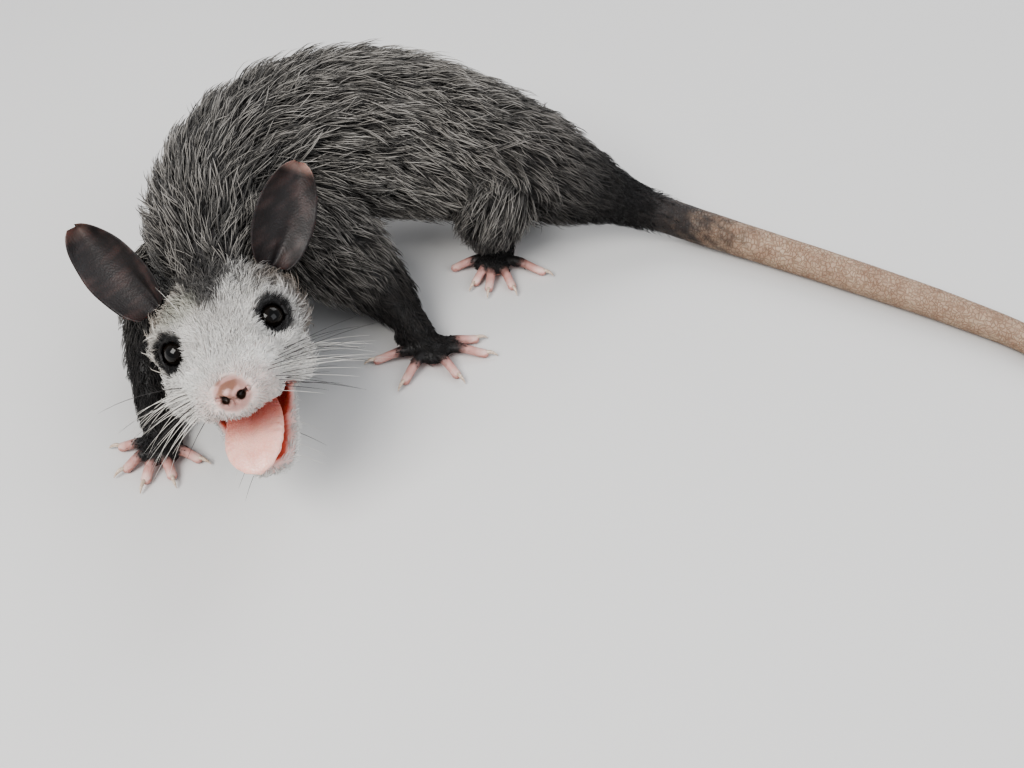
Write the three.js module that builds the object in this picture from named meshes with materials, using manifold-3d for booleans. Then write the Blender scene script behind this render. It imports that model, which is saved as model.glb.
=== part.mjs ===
// A young Virginia opossum at life size, crouched on the floor with its head turned back
// over its left shoulder, its mouth open and its tail laid out to the right.
// Millimetres, +Z up. Every outline runs to the tips of the coat.
import * as THREE from "three";
import { mergeVertices } from "three/addons/utils/BufferGeometryUtils.js";
import Module from "manifold-3d";

const wasm = await Module();
wasm.setup();

// Driving dimensions
const GAP = 0.3; // clear space between two pieces that meet
const LIMB_GAP = 0.6; // the same round a limb, whose section changes quickly along its length
const EYE_SPACING = 30; // between the middles of the two eyes
const EYE_FORWARD = 2.5; // eyes in front of the head's own middle
const EYE_DROP = 2; // eyes under the head's own middle
const EYE_RADIUS = 5.6;
const SNOUT_LENGTH = 46; // from the eye line to the tip of the nose
const SKULL_WIDTH = 54; // over the fur of the cheeks
const JAW_DROP = THREE.MathUtils.degToRad(34); // how far the lower jaw hangs open
const JAW_LENGTH = 50;
const EAR_SPACING = 46; // between the roots of the ears
const EAR_HEIGHT = 38;
const EAR_WIDTH = 23;
const EAR_THICKNESS = 1.5;
const TOE_RADIUS = 1.9;
const CLAW_LENGTH = 4.2;
const CLAW_RADIUS = 0.75;
const SLACK = 0.03; // how far a cut face may be simplified
const UP = new THREE.Vector3(0, 0, 1);

// The point of the floor under the middle of the animal, in the coordinates of the tables below.
const ORIGIN = new THREE.Vector3(17.3, 113.3, 0);

// The head's own frame: x to the animal's right, y along the snout, z to the crown.
const HEAD_CENTRE = new THREE.Vector3(-110, 44, 53);
const HEAD_FORWARD = new THREE.Vector3(0.45, -0.77, 0.46).normalize();
const HEAD_RIGHT = HEAD_FORWARD.clone().cross(new THREE.Vector3(-0.37, 0.31, 0.87)).normalize();
const HEAD_UP = HEAD_RIGHT.clone().cross(HEAD_FORWARD);
const HEAD_FRAME = new THREE.Matrix4()
  .makeBasis(HEAD_RIGHT, HEAD_FORWARD, HEAD_UP)
  .setPosition(HEAD_CENTRE);

// One oval section of a loft: its middle, its half width and its half height.
function station(x, y, z, wide, high = wide) {
  return { centre: new THREE.Vector3(x, y, z), wide, high };
}

// The same section given in the head's own frame.
function headStation(x, y, z, wide, high) {
  const made = station(x, y, z, wide, high);
  made.centre.applyMatrix4(HEAD_FRAME);
  return made;
}

// Neck, trunk and tail as one row of sections, from inside the head to the tip of the tail.
const BODY = [
  station(-122, 67, 38, 21, 19),
  station(-133, 86, 44, 27, 26),
  station(-140, 108, 49, 33, 33),
  station(-136, 134, 52, 37, 38),
  station(-117, 157, 53, 41, 41),
  station(-90, 172, 50, 39, 39),
  station(-61, 177, 44, 34.5, 34.5),
  station(-34, 179, 37, 28, 28),
  station(-12, 183, 28, 20, 20),
  station(5, 187, 20, 13.5, 13),
  station(22, 190, 13.5, 10, 10),
  station(38, 190, 9.4, 8.8, 8.8),
  station(70, 183, 7.4, 7.6, 7.6),
  station(105, 173, 6.8, 7, 7),
  station(148, 159, 6.1, 6.3, 6.3),
  station(175, 147, 5.4, 5.6, 5.6),
  station(196, 127, 4.7, 4.9, 4.9),
  station(205, 101, 3.8, 4, 4),
  station(198, 77, 2.8, 3, 3),
];

// The lengths that the row is divided into, by the number of the section that each runs to.
const BODY_LENGTHS = [
  { name: "neck", to: 2, sides: 20, rings: 4 },
  { name: "trunk", to: 8.6, sides: 20, rings: 12 },
  { name: "tail_base", to: 11.5, sides: 14, rings: 8 },
  { name: "tail_middle", to: 13.5, sides: 12, rings: 9 },
  { name: "tail_bend", to: 16, sides: 12, rings: 10 },
  { name: "tail_tip", to: BODY.length - 1, sides: 10, rings: 10 },
];

// Skull and snout, from the nape to the end of the muzzle.
const HALF_SKULL = SKULL_WIDTH / 2;
const HEAD = [
  headStation(0, -38, -7, 14, 12),
  headStation(0, -30, -5.5, 21, 19),
  headStation(0, -19, -4.5, HALF_SKULL, 21),
  headStation(0, -6, -5.2, HALF_SKULL - 0.5, 19.5),
  headStation(0, 6, -7, HALF_SKULL - 3.5, 16),
  headStation(-0.6, 16, -8.8, 20.5, 13),
  headStation(-0.8, 26, -10.3, 16.5, 10.6),
  headStation(-0.4, 36, -11, 13, 8.6),
  headStation(0, SNOUT_LENGTH - 4, -10.8, 9.5, 6.8),
];

// Lower jaw, from its hinge under the cheek to the chin.
const JAW_HINGE = new THREE.Vector3(0, -12, -14);
const JAW = [
  { along: 0, wide: 19, high: 8.5 },
  { along: 0.25, wide: 18, high: 8 },
  { along: 0.5, wide: 15, high: 6 },
  { along: 0.78, wide: 11.5, high: 5 },
  { along: 0.96, wide: 7.5, high: 4 },
].map(({ along, wide, high }) => {
  const y = JAW_HINGE.y + along * JAW_LENGTH * Math.cos(JAW_DROP);
  const z = JAW_HINGE.z - along * JAW_LENGTH * Math.sin(JAW_DROP);
  return headStation(0, y, z, wide, high);
});

// Tongue, from the floor of the mouth out over the lower lip.
const TONGUE = [
  headStation(0, 8, -24.5, 7, 2.4),
  headStation(0.5, 20, -27, 9.6, 2.6),
  headStation(1.5, 30, -29.5, 10.2, 2.6),
  headStation(2.5, 38, -33, 8.2, 2.2),
];

// Each leg from the shoulder or hip to the wrist or heel, and the paw it stands on.
// A toe is given by where its tip lies on the floor, seen from the middle of the palm.
const LEGS = {
  front_left: {
    limb: [
      station(-116, 118, 40, 25, 22),
      station(-101, 116, 31, 22, 20),
      station(-84, 113, 20, 15, 14),
      station(-71, 106, 12, 9, 8.5),
      station(-63, 100, 8.5, 7, 6.5),
    ],
    palm: { x: -58, y: 97, heading: -18, long: 9.5, wide: 8.5 },
    toes: [
      [-20, -10],
      [-5, -19],
      [15, -11],
      [23, 3.5],
      [17, 11],
    ],
    thumb: -1,
  },
  front_right: {
    limb: [
      station(-150, 108, 36, 19, 19),
      station(-159, 88, 30, 15.5, 15.5),
      station(-158, 68, 22, 12, 12),
      station(-150, 48, 13, 8.5, 8.5),
      station(-143, 36, 9, 7, 6.5),
    ],
    palm: { x: -139, y: 28, heading: -72, long: 9, wide: 8.5 },
    toes: [
      [-16, -3],
      [-9, -12.5],
      [1, -16],
      [10, -12],
      [16, -2],
    ],
    thumb: -1,
  },
  hind_left: {
    limb: [
      station(-44, 161, 36, 18.5, 19),
      station(-48, 160, 27, 17.5, 17.5),
      station(-50, 161, 18, 13, 12),
      station(-49, 163, 11, 9.5, 9),
    ],
    palm: { x: -46, y: 157, heading: -90, long: 15, wide: 8.5 },
    toes: [
      [-17, -9],
      [-5, -17],
      [2, -19.5],
      [12, -16],
      [23, -3],
    ],
    thumb: 0,
  },
  hind_right: {
    limb: [
      station(-36, 199, 36, 16.5, 18),
      station(-40, 203, 27, 16, 16.5),
      station(-43, 206, 18, 12.5, 12),
      station(-42, 208, 11, 9.5, 9),
    ],
    palm: { x: -51, y: 211, heading: 170, long: 15, wide: 8.5 },
    toes: [
      [-11, -15],
      [-20, -7],
      [-22, 0],
      [-20, 7],
      [-13, 13],
    ],
    thumb: 0,
  },
};

// Colours and surfaces
function finish(colour, roughness) {
  return new THREE.MeshStandardMaterial({ color: colour, roughness, metalness: 0 });
}
const BODY_FUR = finish(0x4b4744, 0.9);
const FACE_FUR = finish(0xcfccc4, 0.9);
const DARK_SKIN = finish(0x241e1e, 0.65);
const TAIL_SKIN = finish(0x9b8a7c, 0.7);
const PINK_SKIN = finish(0xc8938a, 0.5);
const TONGUE_SKIN = finish(0xe7b3a6, 0.35);
const EYE_BLACK = finish(0x0a0808, 0.05);

// A closed surface through rings of points of equal number. The rings follow each other along
// the shape, each one runs clockwise as seen from ahead, and a fan of faces closes each end.
function skinOf(rings, startPole, endPole) {
  const sides = rings[0].length;
  const points = [startPole, ...rings.flat(), endPole];
  const faces = [];
  for (let side = 0; side < sides; side++) {
    const next = (side + 1) % sides;
    const last = 1 + (rings.length - 1) * sides;
    faces.push(0, 1 + side, 1 + next);
    faces.push(points.length - 1, last + next, last + side);
    for (let row = 0; row < rings.length - 1; row++) {
      const near = 1 + row * sides;
      const far = near + sides;
      faces.push(near + side, far + side, near + next);
      faces.push(near + next, far + side, far + next);
    }
  }
  const geometry = new THREE.BufferGeometry().setFromPoints(points);
  geometry.setIndex(faces);
  return geometry;
}

// How far the parameter of a curve moves over a given length of it.
function parameterOver(curve, at, length) {
  const step = 1e-3;
  const low = Math.max(0, at - step);
  const high = Math.min(1, at + step);
  return (length * (high - low)) / curve.getPoint(high).distanceTo(curve.getPoint(low));
}

// A loft through oval sections. It runs from one section number to another, ends in domes of the
// given depths or, where a depth is 0, in flat faces, and can be grown by a clear distance.
function loft(stations, options) {
  const { sides, rings, grow = 0, level = UP } = options;
  const { from = 0, to = stations.length - 1, startDome = 0, endDome = 0, trim = 0 } = options;
  const domeRings = options.domeRings ?? 3;
  const path = new THREE.CatmullRomCurve3(stations.map((s) => s.centre));
  const sizePoints = stations.map((s) => new THREE.Vector3(s.wide, s.high, 0));
  const sizes = new THREE.CatmullRomCurve3(sizePoints, false, "catmullrom");
  const last = stations.length - 1;
  const begin = from / last + parameterOver(path, from / last, trim);
  const end = to / last - parameterOver(path, to / last, trim);

  function section(at, ahead, shrink) {
    const tangent = path.getTangent(at);
    const side = tangent.clone().cross(level).normalize();
    const top = side.clone().cross(tangent);
    const centre = path.getPoint(at).addScaledVector(tangent, ahead);
    const size = sizes.getPoint(at);
    const ring = [];
    for (let k = 0; k < sides; k++) {
      const angle = (2 * Math.PI * k) / sides;
      const across = Math.cos(angle) * (size.x + grow) * shrink;
      const above = Math.sin(angle) * (size.y + grow) * shrink;
      ring.push(centre.clone().addScaledVector(side, across).addScaledVector(top, above));
    }
    return { ring, centre };
  }

  const made = [];
  for (let k = domeRings - 1; k > 0 && startDome > 0; k--) {
    const angle = (k / domeRings) * (Math.PI / 2);
    made.push(section(begin, -(startDome + grow) * Math.sin(angle), Math.cos(angle)).ring);
  }
  for (let k = 0; k <= rings; k++) {
    made.push(section(begin + ((end - begin) * k) / rings, 0, 1).ring);
  }
  for (let k = 1; k < domeRings && endDome > 0; k++) {
    const angle = (k / domeRings) * (Math.PI / 2);
    made.push(section(end, (endDome + grow) * Math.sin(angle), Math.cos(angle)).ring);
  }
  const startPole = section(begin, startDome > 0 ? -startDome - grow : 0, 1).centre;
  const endPole = section(end, endDome > 0 ? endDome + grow : 0, 1).centre;
  return skinOf(made, startPole, endPole);
}

// A closed geometry as a solid that can be joined and cut.
function solid(geometry) {
  const bare = geometry.index ? geometry.clone() : geometry;
  bare.deleteAttribute("normal");
  bare.deleteAttribute("uv");
  const merged = mergeVertices(bare, 1e-4);
  return new wasm.Manifold(
    new wasm.Mesh({
      numProp: 3,
      vertProperties: merged.attributes.position.array,
      triVerts: new Uint32Array(merged.index.array),
    }),
  );
}

// The largest body that is left of a solid after its cutters are taken away.
function cut(body, ...cutters) {
  const left = cutters.reduce((rest, cutter) => rest.subtract(cutter), body);
  const bodies = left.decompose().sort((a, b) => b.volume() - a.volume());
  return bodies[0].simplify(SLACK);
}

function joined(solids) {
  return solids.reduce((all, one) => all.add(one));
}

// A solid back as a geometry with flat faces.
function geometryOf(body) {
  const { numProp, vertProperties, triVerts } = body.getMesh();
  const geometry = new THREE.BufferGeometry();
  geometry.setAttribute("position", new THREE.BufferAttribute(vertProperties, numProp));
  geometry.setIndex(new THREE.BufferAttribute(triVerts, 1));
  geometry.computeVertexNormals();
  return geometry;
}

function ballAt(centre, radius, detail = 12) {
  const ball = new THREE.SphereGeometry(radius, detail, detail * 0.6);
  return solid(ball.translate(centre.x, centre.y, centre.z));
}

// What lies below the floor, taken off each piece that rests on it.
const FLOOR_DEPTH = 60;
const BELOW_FLOOR = solid(
  new THREE.BoxGeometry(900, 900, FLOOR_DEPTH).translate(0, 100, -FLOOR_DEPTH / 2),
);

// Head
const HEAD_LOFT = { sides: 20, rings: 12, startDome: 7, endDome: 4.2, level: HEAD_UP };
const JAW_LOFT = { sides: 14, rings: 7, startDome: 6, endDome: 4, level: HEAD_UP };
const TONGUE_LOFT = { sides: 12, rings: 5, startDome: 2, endDome: 4.5, level: HEAD_UP };
const EYE_X = EYE_SPACING / 2;
const EYE_GAZE = new THREE.Vector3(0.5, 0.78, 0.3).normalize(); // of the right eye

function eyeCentre(handed) {
  return new THREE.Vector3(handed * EYE_X, EYE_FORWARD, -EYE_DROP).applyMatrix4(HEAD_FRAME);
}

// The hollow in front of an eye, which widens outwards between the lids.
function eyeSocket(handed) {
  const reach = [0, EYE_RADIUS, EYE_RADIUS * 2];
  const stations = reach.map((distance) => {
    const { x, y, z } = EYE_GAZE;
    const open = EYE_RADIUS - 1 + distance * 0.3;
    const sideways = handed * (EYE_X + x * distance);
    const forward = EYE_FORWARD + y * distance;
    return headStation(sideways, forward, z * distance - EYE_DROP, open, open);
  });
  const flare = solid(loft(stations, { sides: 12, rings: 2, level: HEAD_UP }));
  return joined([flare, ballAt(eyeCentre(handed), EYE_RADIUS + GAP)]);
}

// A thin cupped leaf. Its two faces are carried up from the root to the tip: the half width
// grows as a sine to the broadest place and rounds in to the tip, and the sides curl forward.
function earLeaf(handed, tipPlace) {
  const root = new THREE.Vector3(handed * EAR_SPACING / 2, -27, 11);
  const tip = tipPlace.clone();
  const rise = tip.clone().sub(root).normalize();
  const opening = new THREE.Vector3(handed * 0.25, 1, 0.1);
  const across = rise.clone().cross(opening).normalize();
  const facing = across.clone().cross(rise);
  const rows = 9;
  const columns = 6;
  const half = EAR_THICKNESS / 2;
  const middles = [];
  const rings = [];
  for (let row = 0; row <= rows; row++) {
    const up = row / rows;
    const round = Math.sqrt(Math.max(0, 1 - ((up - 0.5) / 0.56) ** 2));
    const reach = (EAR_WIDTH / 2) * (0.28 + 0.72 * round) * (up > 0.9 ? 0.86 : 1);
    const height = (up - 0.08) * EAR_HEIGHT;
    const middle = root.clone().addScaledVector(rise, height);
    const place = (share, layer) => {
      const curl = 5.5 * share * share - 2.5 * (1 - up);
      return middle
        .clone()
        .addScaledVector(across, share * reach)
        .addScaledVector(facing, curl + layer)
        .applyMatrix4(HEAD_FRAME);
    };
    const back = [];
    const front = [];
    for (let column = 0; column < columns; column++) {
      const share = (2 * column) / (columns - 1) - 1;
      back.push(place(share, -half));
      front.unshift(place(share, half));
    }
    rings.push([...back, ...front]);
    middles.push(place(0, 0));
  }
  return skinOf(rings, middles[0], middles[rows]);
}

const skull = solid(loft(HEAD, HEAD_LOFT));
const skullClear = solid(loft(HEAD, { ...HEAD_LOFT, grow: GAP }));
const jawClear = solid(loft(JAW, { ...JAW_LOFT, grow: GAP }));
const noseMiddle = new THREE.Vector3(0, SNOUT_LENGTH - 2.2, -9.2).applyMatrix4(HEAD_FRAME);
const nose = ballAt(noseMiddle, 4.1);
const noseClear = ballAt(noseMiddle, 4.1 + GAP);

// Limbs
function limbSolid(leg, grow = 0) {
  const along = leg.limb[1].centre.clone().sub(leg.limb[0].centre);
  const level = along.clone().cross(UP).cross(along).normalize();
  const options = { sides: 14, rings: 6, startDome: 8, endDome: 2.5, level, grow };
  return solid(loft(leg.limb, options));
}

// One toe as a bent finger from the palm to its tip, drawn out into a small hooked claw.
function toeSolid(palm, [reachX, reachY], withClaw) {
  const length = Math.hypot(reachX, reachY);
  const share = (part, ahead, height, radius) => {
    const reach = part + ahead / length;
    return station(palm.x + reachX * reach, palm.y + reachY * reach, height, radius);
  };
  const finger = [
    share(0.33, 0, 4, TOE_RADIUS * 1.3),
    share(0.55, 0, 4.4, TOE_RADIUS * 1.15),
    share(0.8, 0, 2.6, TOE_RADIUS),
    share(1, -1.2, 1.6, TOE_RADIUS * 0.9),
  ];
  const claw = [
    share(1, 0.6, 2, CLAW_RADIUS),
    share(1, CLAW_LENGTH * 0.6, 1.9, CLAW_RADIUS * 0.7),
    share(1, CLAW_LENGTH, 0.8, CLAW_RADIUS * 0.45),
  ];
  const options = { sides: 5, startDome: 1.2, domeRings: 2 };
  return withClaw
    ? solid(loft([...finger, ...claw], { ...options, rings: 5, endDome: 0.3 }))
    : solid(loft(finger, { ...options, rings: 3, endDome: 1.5 }));
}

function pawSolid(leg) {
  const { x, y, heading, long, wide } = leg.palm;
  const angle = THREE.MathUtils.degToRad(heading);
  const along = (distance, height, half, high) =>
    station(x + distance * Math.cos(angle), y + distance * Math.sin(angle), height, half, high);
  const sole = solid(
    loft(
      [
        along(-long, 4.6, wide * 0.72, 4.9),
        along(-long * 0.3, 4.1, wide * 0.9, 4.5),
        along(long * 0.35, 3.7, wide, 4.1),
      ],
      { sides: 10, rings: 2, startDome: 4, endDome: 4, domeRings: 2 },
    ),
  );
  const toes = leg.toes.map((reach, number) => toeSolid(leg.palm, reach, number !== leg.thumb));
  return joined([sole, ...toes]);
}

const limbs = {};
const limbsClear = [];
for (const [place, leg] of Object.entries(LEGS)) {
  limbs[place] = limbSolid(leg);
  limbsClear.push(limbSolid(leg, LIMB_GAP));
}

// The whole animal
const animal = new THREE.Group();
animal.position.copy(ORIGIN).negate();

function addPiece(name, body, material) {
  const mesh = new THREE.Mesh(geometryOf(body), material);
  mesh.name = name;
  animal.add(mesh);
}

function bodyLength(number, grow = 0) {
  const { to, sides, rings } = BODY_LENGTHS[number];
  const from = number > 0 ? BODY_LENGTHS[number - 1].to : 0;
  const isTip = number === BODY_LENGTHS.length - 1;
  const options = { from, to, sides, rings, grow, trim: GAP / 2, endDome: isTip ? 3 : 0 };
  return solid(loft(BODY, options));
}

const neckClear = bodyLength(0, GAP);
const trunkClear = bodyLength(1, GAP);

for (const [place, leg] of Object.entries(LEGS)) {
  const legName = "leg_" + place;
  const isFront = place.startsWith("front");
  const limb = cut(limbs[place], BELOW_FLOOR, skullClear, jawClear);
  addPiece(legName, limb, BODY_FUR);
  const paw = cut(pawSolid(leg), BELOW_FLOOR, limbSolid(leg, LIMB_GAP));
  addPiece((isFront ? "hand_" : "foot_") + place, paw, DARK_SKIN);
}

BODY_LENGTHS.forEach(({ name }, number) => {
  const isTail = name.startsWith("tail");
  const cutters = isTail ? [BELOW_FLOOR] : [...limbsClear, skullClear, BELOW_FLOOR];
  addPiece(name, cut(bodyLength(number), ...cutters), isTail ? TAIL_SKIN : BODY_FUR);
});

const sockets = [-1, 1].map(eyeSocket);
addPiece("head", cut(skull, ...sockets, noseClear), FACE_FUR);
addPiece("nose", nose, PINK_SKIN);
addPiece("jaw_lower", cut(solid(loft(JAW, JAW_LOFT)), skullClear, neckClear), FACE_FUR);
addPiece("tongue", cut(solid(loft(TONGUE, TONGUE_LOFT)), skullClear, jawClear), TONGUE_SKIN);
const SIDES = [
  { side: "left", handed: -1, earTip: new THREE.Vector3(-45, -32, 41) },
  { side: "right", handed: 1, earTip: new THREE.Vector3(35, -36, 46) },
];
for (const { side, handed, earTip } of SIDES) {
  addPiece("eye_" + side, ballAt(eyeCentre(handed), EYE_RADIUS), EYE_BLACK);
  const ear = cut(solid(earLeaf(handed, earTip)), skullClear, neckClear, trunkClear);
  addPiece("ear_" + side, ear, DARK_SKIN);
}

export default animal;
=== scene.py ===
"""A young opossum as a still, life-size figure: skin, coat, eyes, claws, whiskers and tongue.

All shapes are worked out in millimetres on the layout of the solids (X along the back, Y away from
the viewer, Z up) and are put into the frame of the solids, in metres, when a mesh is made.
"""

from __future__ import annotations

import logging
import math
from dataclasses import dataclass, field
from enum import Enum
from typing import Any, Callable, Sequence

import bpy
import numpy as np
from mathutils import Matrix

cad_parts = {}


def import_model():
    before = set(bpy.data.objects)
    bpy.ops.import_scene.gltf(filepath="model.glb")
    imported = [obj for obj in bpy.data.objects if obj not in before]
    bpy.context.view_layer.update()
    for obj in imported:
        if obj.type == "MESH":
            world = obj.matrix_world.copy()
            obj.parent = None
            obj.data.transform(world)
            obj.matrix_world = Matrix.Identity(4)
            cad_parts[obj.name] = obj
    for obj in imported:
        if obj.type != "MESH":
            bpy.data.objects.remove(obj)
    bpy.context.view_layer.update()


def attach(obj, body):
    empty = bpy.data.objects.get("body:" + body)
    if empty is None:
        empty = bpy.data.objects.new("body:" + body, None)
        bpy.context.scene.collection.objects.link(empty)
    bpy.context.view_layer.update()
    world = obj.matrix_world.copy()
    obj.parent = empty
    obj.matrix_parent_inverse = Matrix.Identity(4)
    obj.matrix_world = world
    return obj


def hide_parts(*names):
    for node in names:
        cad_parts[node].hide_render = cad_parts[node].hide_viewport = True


Array = np.ndarray
log = logging.getLogger("opossum")

MM = 0.001
ORIGIN = np.array([17.3, 113.3, 0.0])
UP = np.array([0.0, 0.0, 1.0])
FAR = 9.0  # distance given to points that no length of the body reaches
SEED = 20417

BODY_NODES = ("neck", "trunk", "tail_base", "tail_middle", "tail_bend", "tail_tip")
HEAD_NODES = ("head", "jaw_lower", "nose", "ear_left", "ear_right")
LEG_NODES = ("leg_front_left", "leg_front_right", "leg_hind_left", "leg_hind_right")
PAW_NODES = ("hand_front_left", "hand_front_right", "foot_hind_left", "foot_hind_right")


def unit(vectors: Array) -> Array:
    """The same directions at length one, along the last axis."""
    length = np.linalg.norm(vectors, axis=-1, keepdims=True)
    return vectors / np.maximum(length, 1e-9)


def dot(first: Array, second: Array) -> Array:
    """The scalar product of each pair of rows."""
    return np.einsum("ij,ij->i", first, second)


def step(low: float, high: float, values: Array) -> Array:
    """A smooth step from 0 at low to 1 at high: 3t squared minus 2t cubed."""
    share = np.clip((values - low) / (high - low), 0.0, 1.0)
    return share * share * (3.0 - 2.0 * share)


def blend(first: Array, second: Array, share: Array) -> Array:
    """Colours between first and second, by a share for each row."""
    wide = np.asarray(share)[..., None]
    return first * (1.0 - wide) + second * wide


def srgb(red: int, green: int, blue: int) -> Array:
    """A linear colour from its usual 0 to 255 values."""
    share = np.array([red, green, blue]) / 255.0
    return np.where(share <= 0.04045, share / 12.92, ((share + 0.055) / 1.055) ** 2.4)


def spline(points: Array, at: Array) -> Array:
    """Points on a smooth curve through rows of numbers.

    The curve is the Catmull-Rom cubic: between two rows it leaves and arrives along half the
    difference of the rows on either side.

    Args:
        points: one row for each place that the curve runs through.
        at: row numbers, whole or between two rows.

    Returns:
        One row for each number.
    """
    last = len(points) - 1
    base = np.clip(np.floor(at).astype(int), 0, last - 1)
    t = (at - base)[:, None]
    padded = np.vstack([2 * points[0] - points[1], points, 2 * points[-1] - points[-2]])
    a, b, c, d = (padded[base + k] for k in range(4))
    square = 2 * a - 5 * b + 4 * c - d
    cube = 3 * b - a - 3 * c + d
    return 0.5 * (2 * b + (c - a) * t + square * t**2 + cube * t**3)


@dataclass(frozen=True)
class HeadFrame:
    """The head's own frame: x to the animal's right, y along the snout, z to the crown."""

    centre: Array
    axes: Array

    @classmethod
    def made(cls) -> HeadFrame:
        """The frame for the head turned back towards the viewer."""
        forward = unit(np.array([0.45, -0.77, 0.46]))
        right = unit(np.cross(forward, np.array([-0.37, 0.31, 0.87])))
        return cls(np.array([-110.0, 44.0, 53.0]), np.array([right, forward, np.cross(right, forward)]))

    def out(self, local: Array) -> Array:
        """Layout points from the head's own coordinates."""
        return self.centre + np.asarray(local, float) @ self.axes

    def into(self, points: Array) -> Array:
        """The head's own coordinates of layout points."""
        return (points - self.centre) @ self.axes.T


HEAD = HeadFrame.made()


@dataclass
class Chain:
    """A row of overlapping ellipsoids along a smooth path, one limb or other length of the body.

    Attributes:
        name: what the length is.
        centres: the middle of each ellipsoid.
        radii: half widths across, along and above.
        frames: rows across, along and above for each ellipsoid.
        share: where each ellipsoid stands on the path, from 0 to 1.
        softness: how far the length melts into what it joins.
        lie: 1 where hair lies along the path and -1 where it lies back along it.
    """

    name: str
    centres: Array
    radii: Array
    frames: Array
    share: Array
    softness: float
    lie: float = 1.0

    @classmethod
    def along(
        cls,
        name: str,
        stations: Array,
        depth: float | Array = 0.0,
        level: Array = UP,
        spacing: float = 1.5,
        softness: float = 3.0,
        lie: float = 1.0,
        stretch: float = 1.0,
    ) -> Chain:
        """A chain through oval sections.

        Args:
            name: what the length is.
            stations: rows of x, y, z, half width and half height, over the coat.
            depth: how far the skin lies inside the coat, for all or for each station.
            level: the direction that counts as above.
            spacing: space between ellipsoids.
            softness: how far the length melts into what it joins.
            lie: the way that hair lies along the path.
            stretch: an ellipsoid's half length as a share of its smaller half width.

        Returns:
            The chain.
        """
        rows = np.array(stations, float)
        rows[:, 3:] -= np.reshape(depth, (-1, 1)) * np.ones((1, 2))
        rough = spline(rows, np.linspace(0, len(rows) - 1, 40 * len(rows)))
        run = np.concatenate([[0], np.cumsum(np.linalg.norm(np.diff(rough[:, :3], axis=0), axis=1))])
        count = max(3, int(run[-1] / spacing) + 1)
        at = np.interp(np.linspace(0, run[-1], count), run, np.linspace(0, len(rows) - 1, len(run)))
        fine = spline(rows, at)
        tangent = unit(np.gradient(fine[:, :3], axis=0))
        across = unit(np.cross(tangent, level))
        above = np.cross(across, tangent)
        half = np.maximum(fine[:, 3:], 0.4)
        length = np.min(half, axis=1) * stretch
        radii = np.stack([half[:, 0], length, half[:, 1]], axis=1)
        frames = np.stack([across, tangent, above], axis=1)
        return cls(name, fine[:, :3], radii, frames, np.linspace(0, 1, count), softness, lie)

    def one(self, number: int, points: Array) -> Array:
        """How far points lie outside one ellipsoid.

        The distance is k0 (k0 - 1) / k1, where k0 is the length of the point over the radii and
        k1 its length over their squares.
        """
        local = (points - self.centres[number]) @ self.frames[number].T
        over = local / self.radii[number]
        twice = over / self.radii[number]
        k0 = np.sqrt(np.einsum("...i,...i", over, over))
        k1 = np.sqrt(np.einsum("...i,...i", twice, twice))
        return k0 * (k0 - 1.0) / np.maximum(k1, 1e-6)


def ellipsoid(name: str, local: Sequence[float], radii: Sequence[float], softness: float) -> Chain:
    """A single ellipsoid in the head's own frame, as a chain of one."""
    centre = HEAD.out(np.array([local], float))
    return Chain(name, centre, np.array([radii], float), HEAD.axes[None], np.zeros(1), softness, -1.0)


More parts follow.
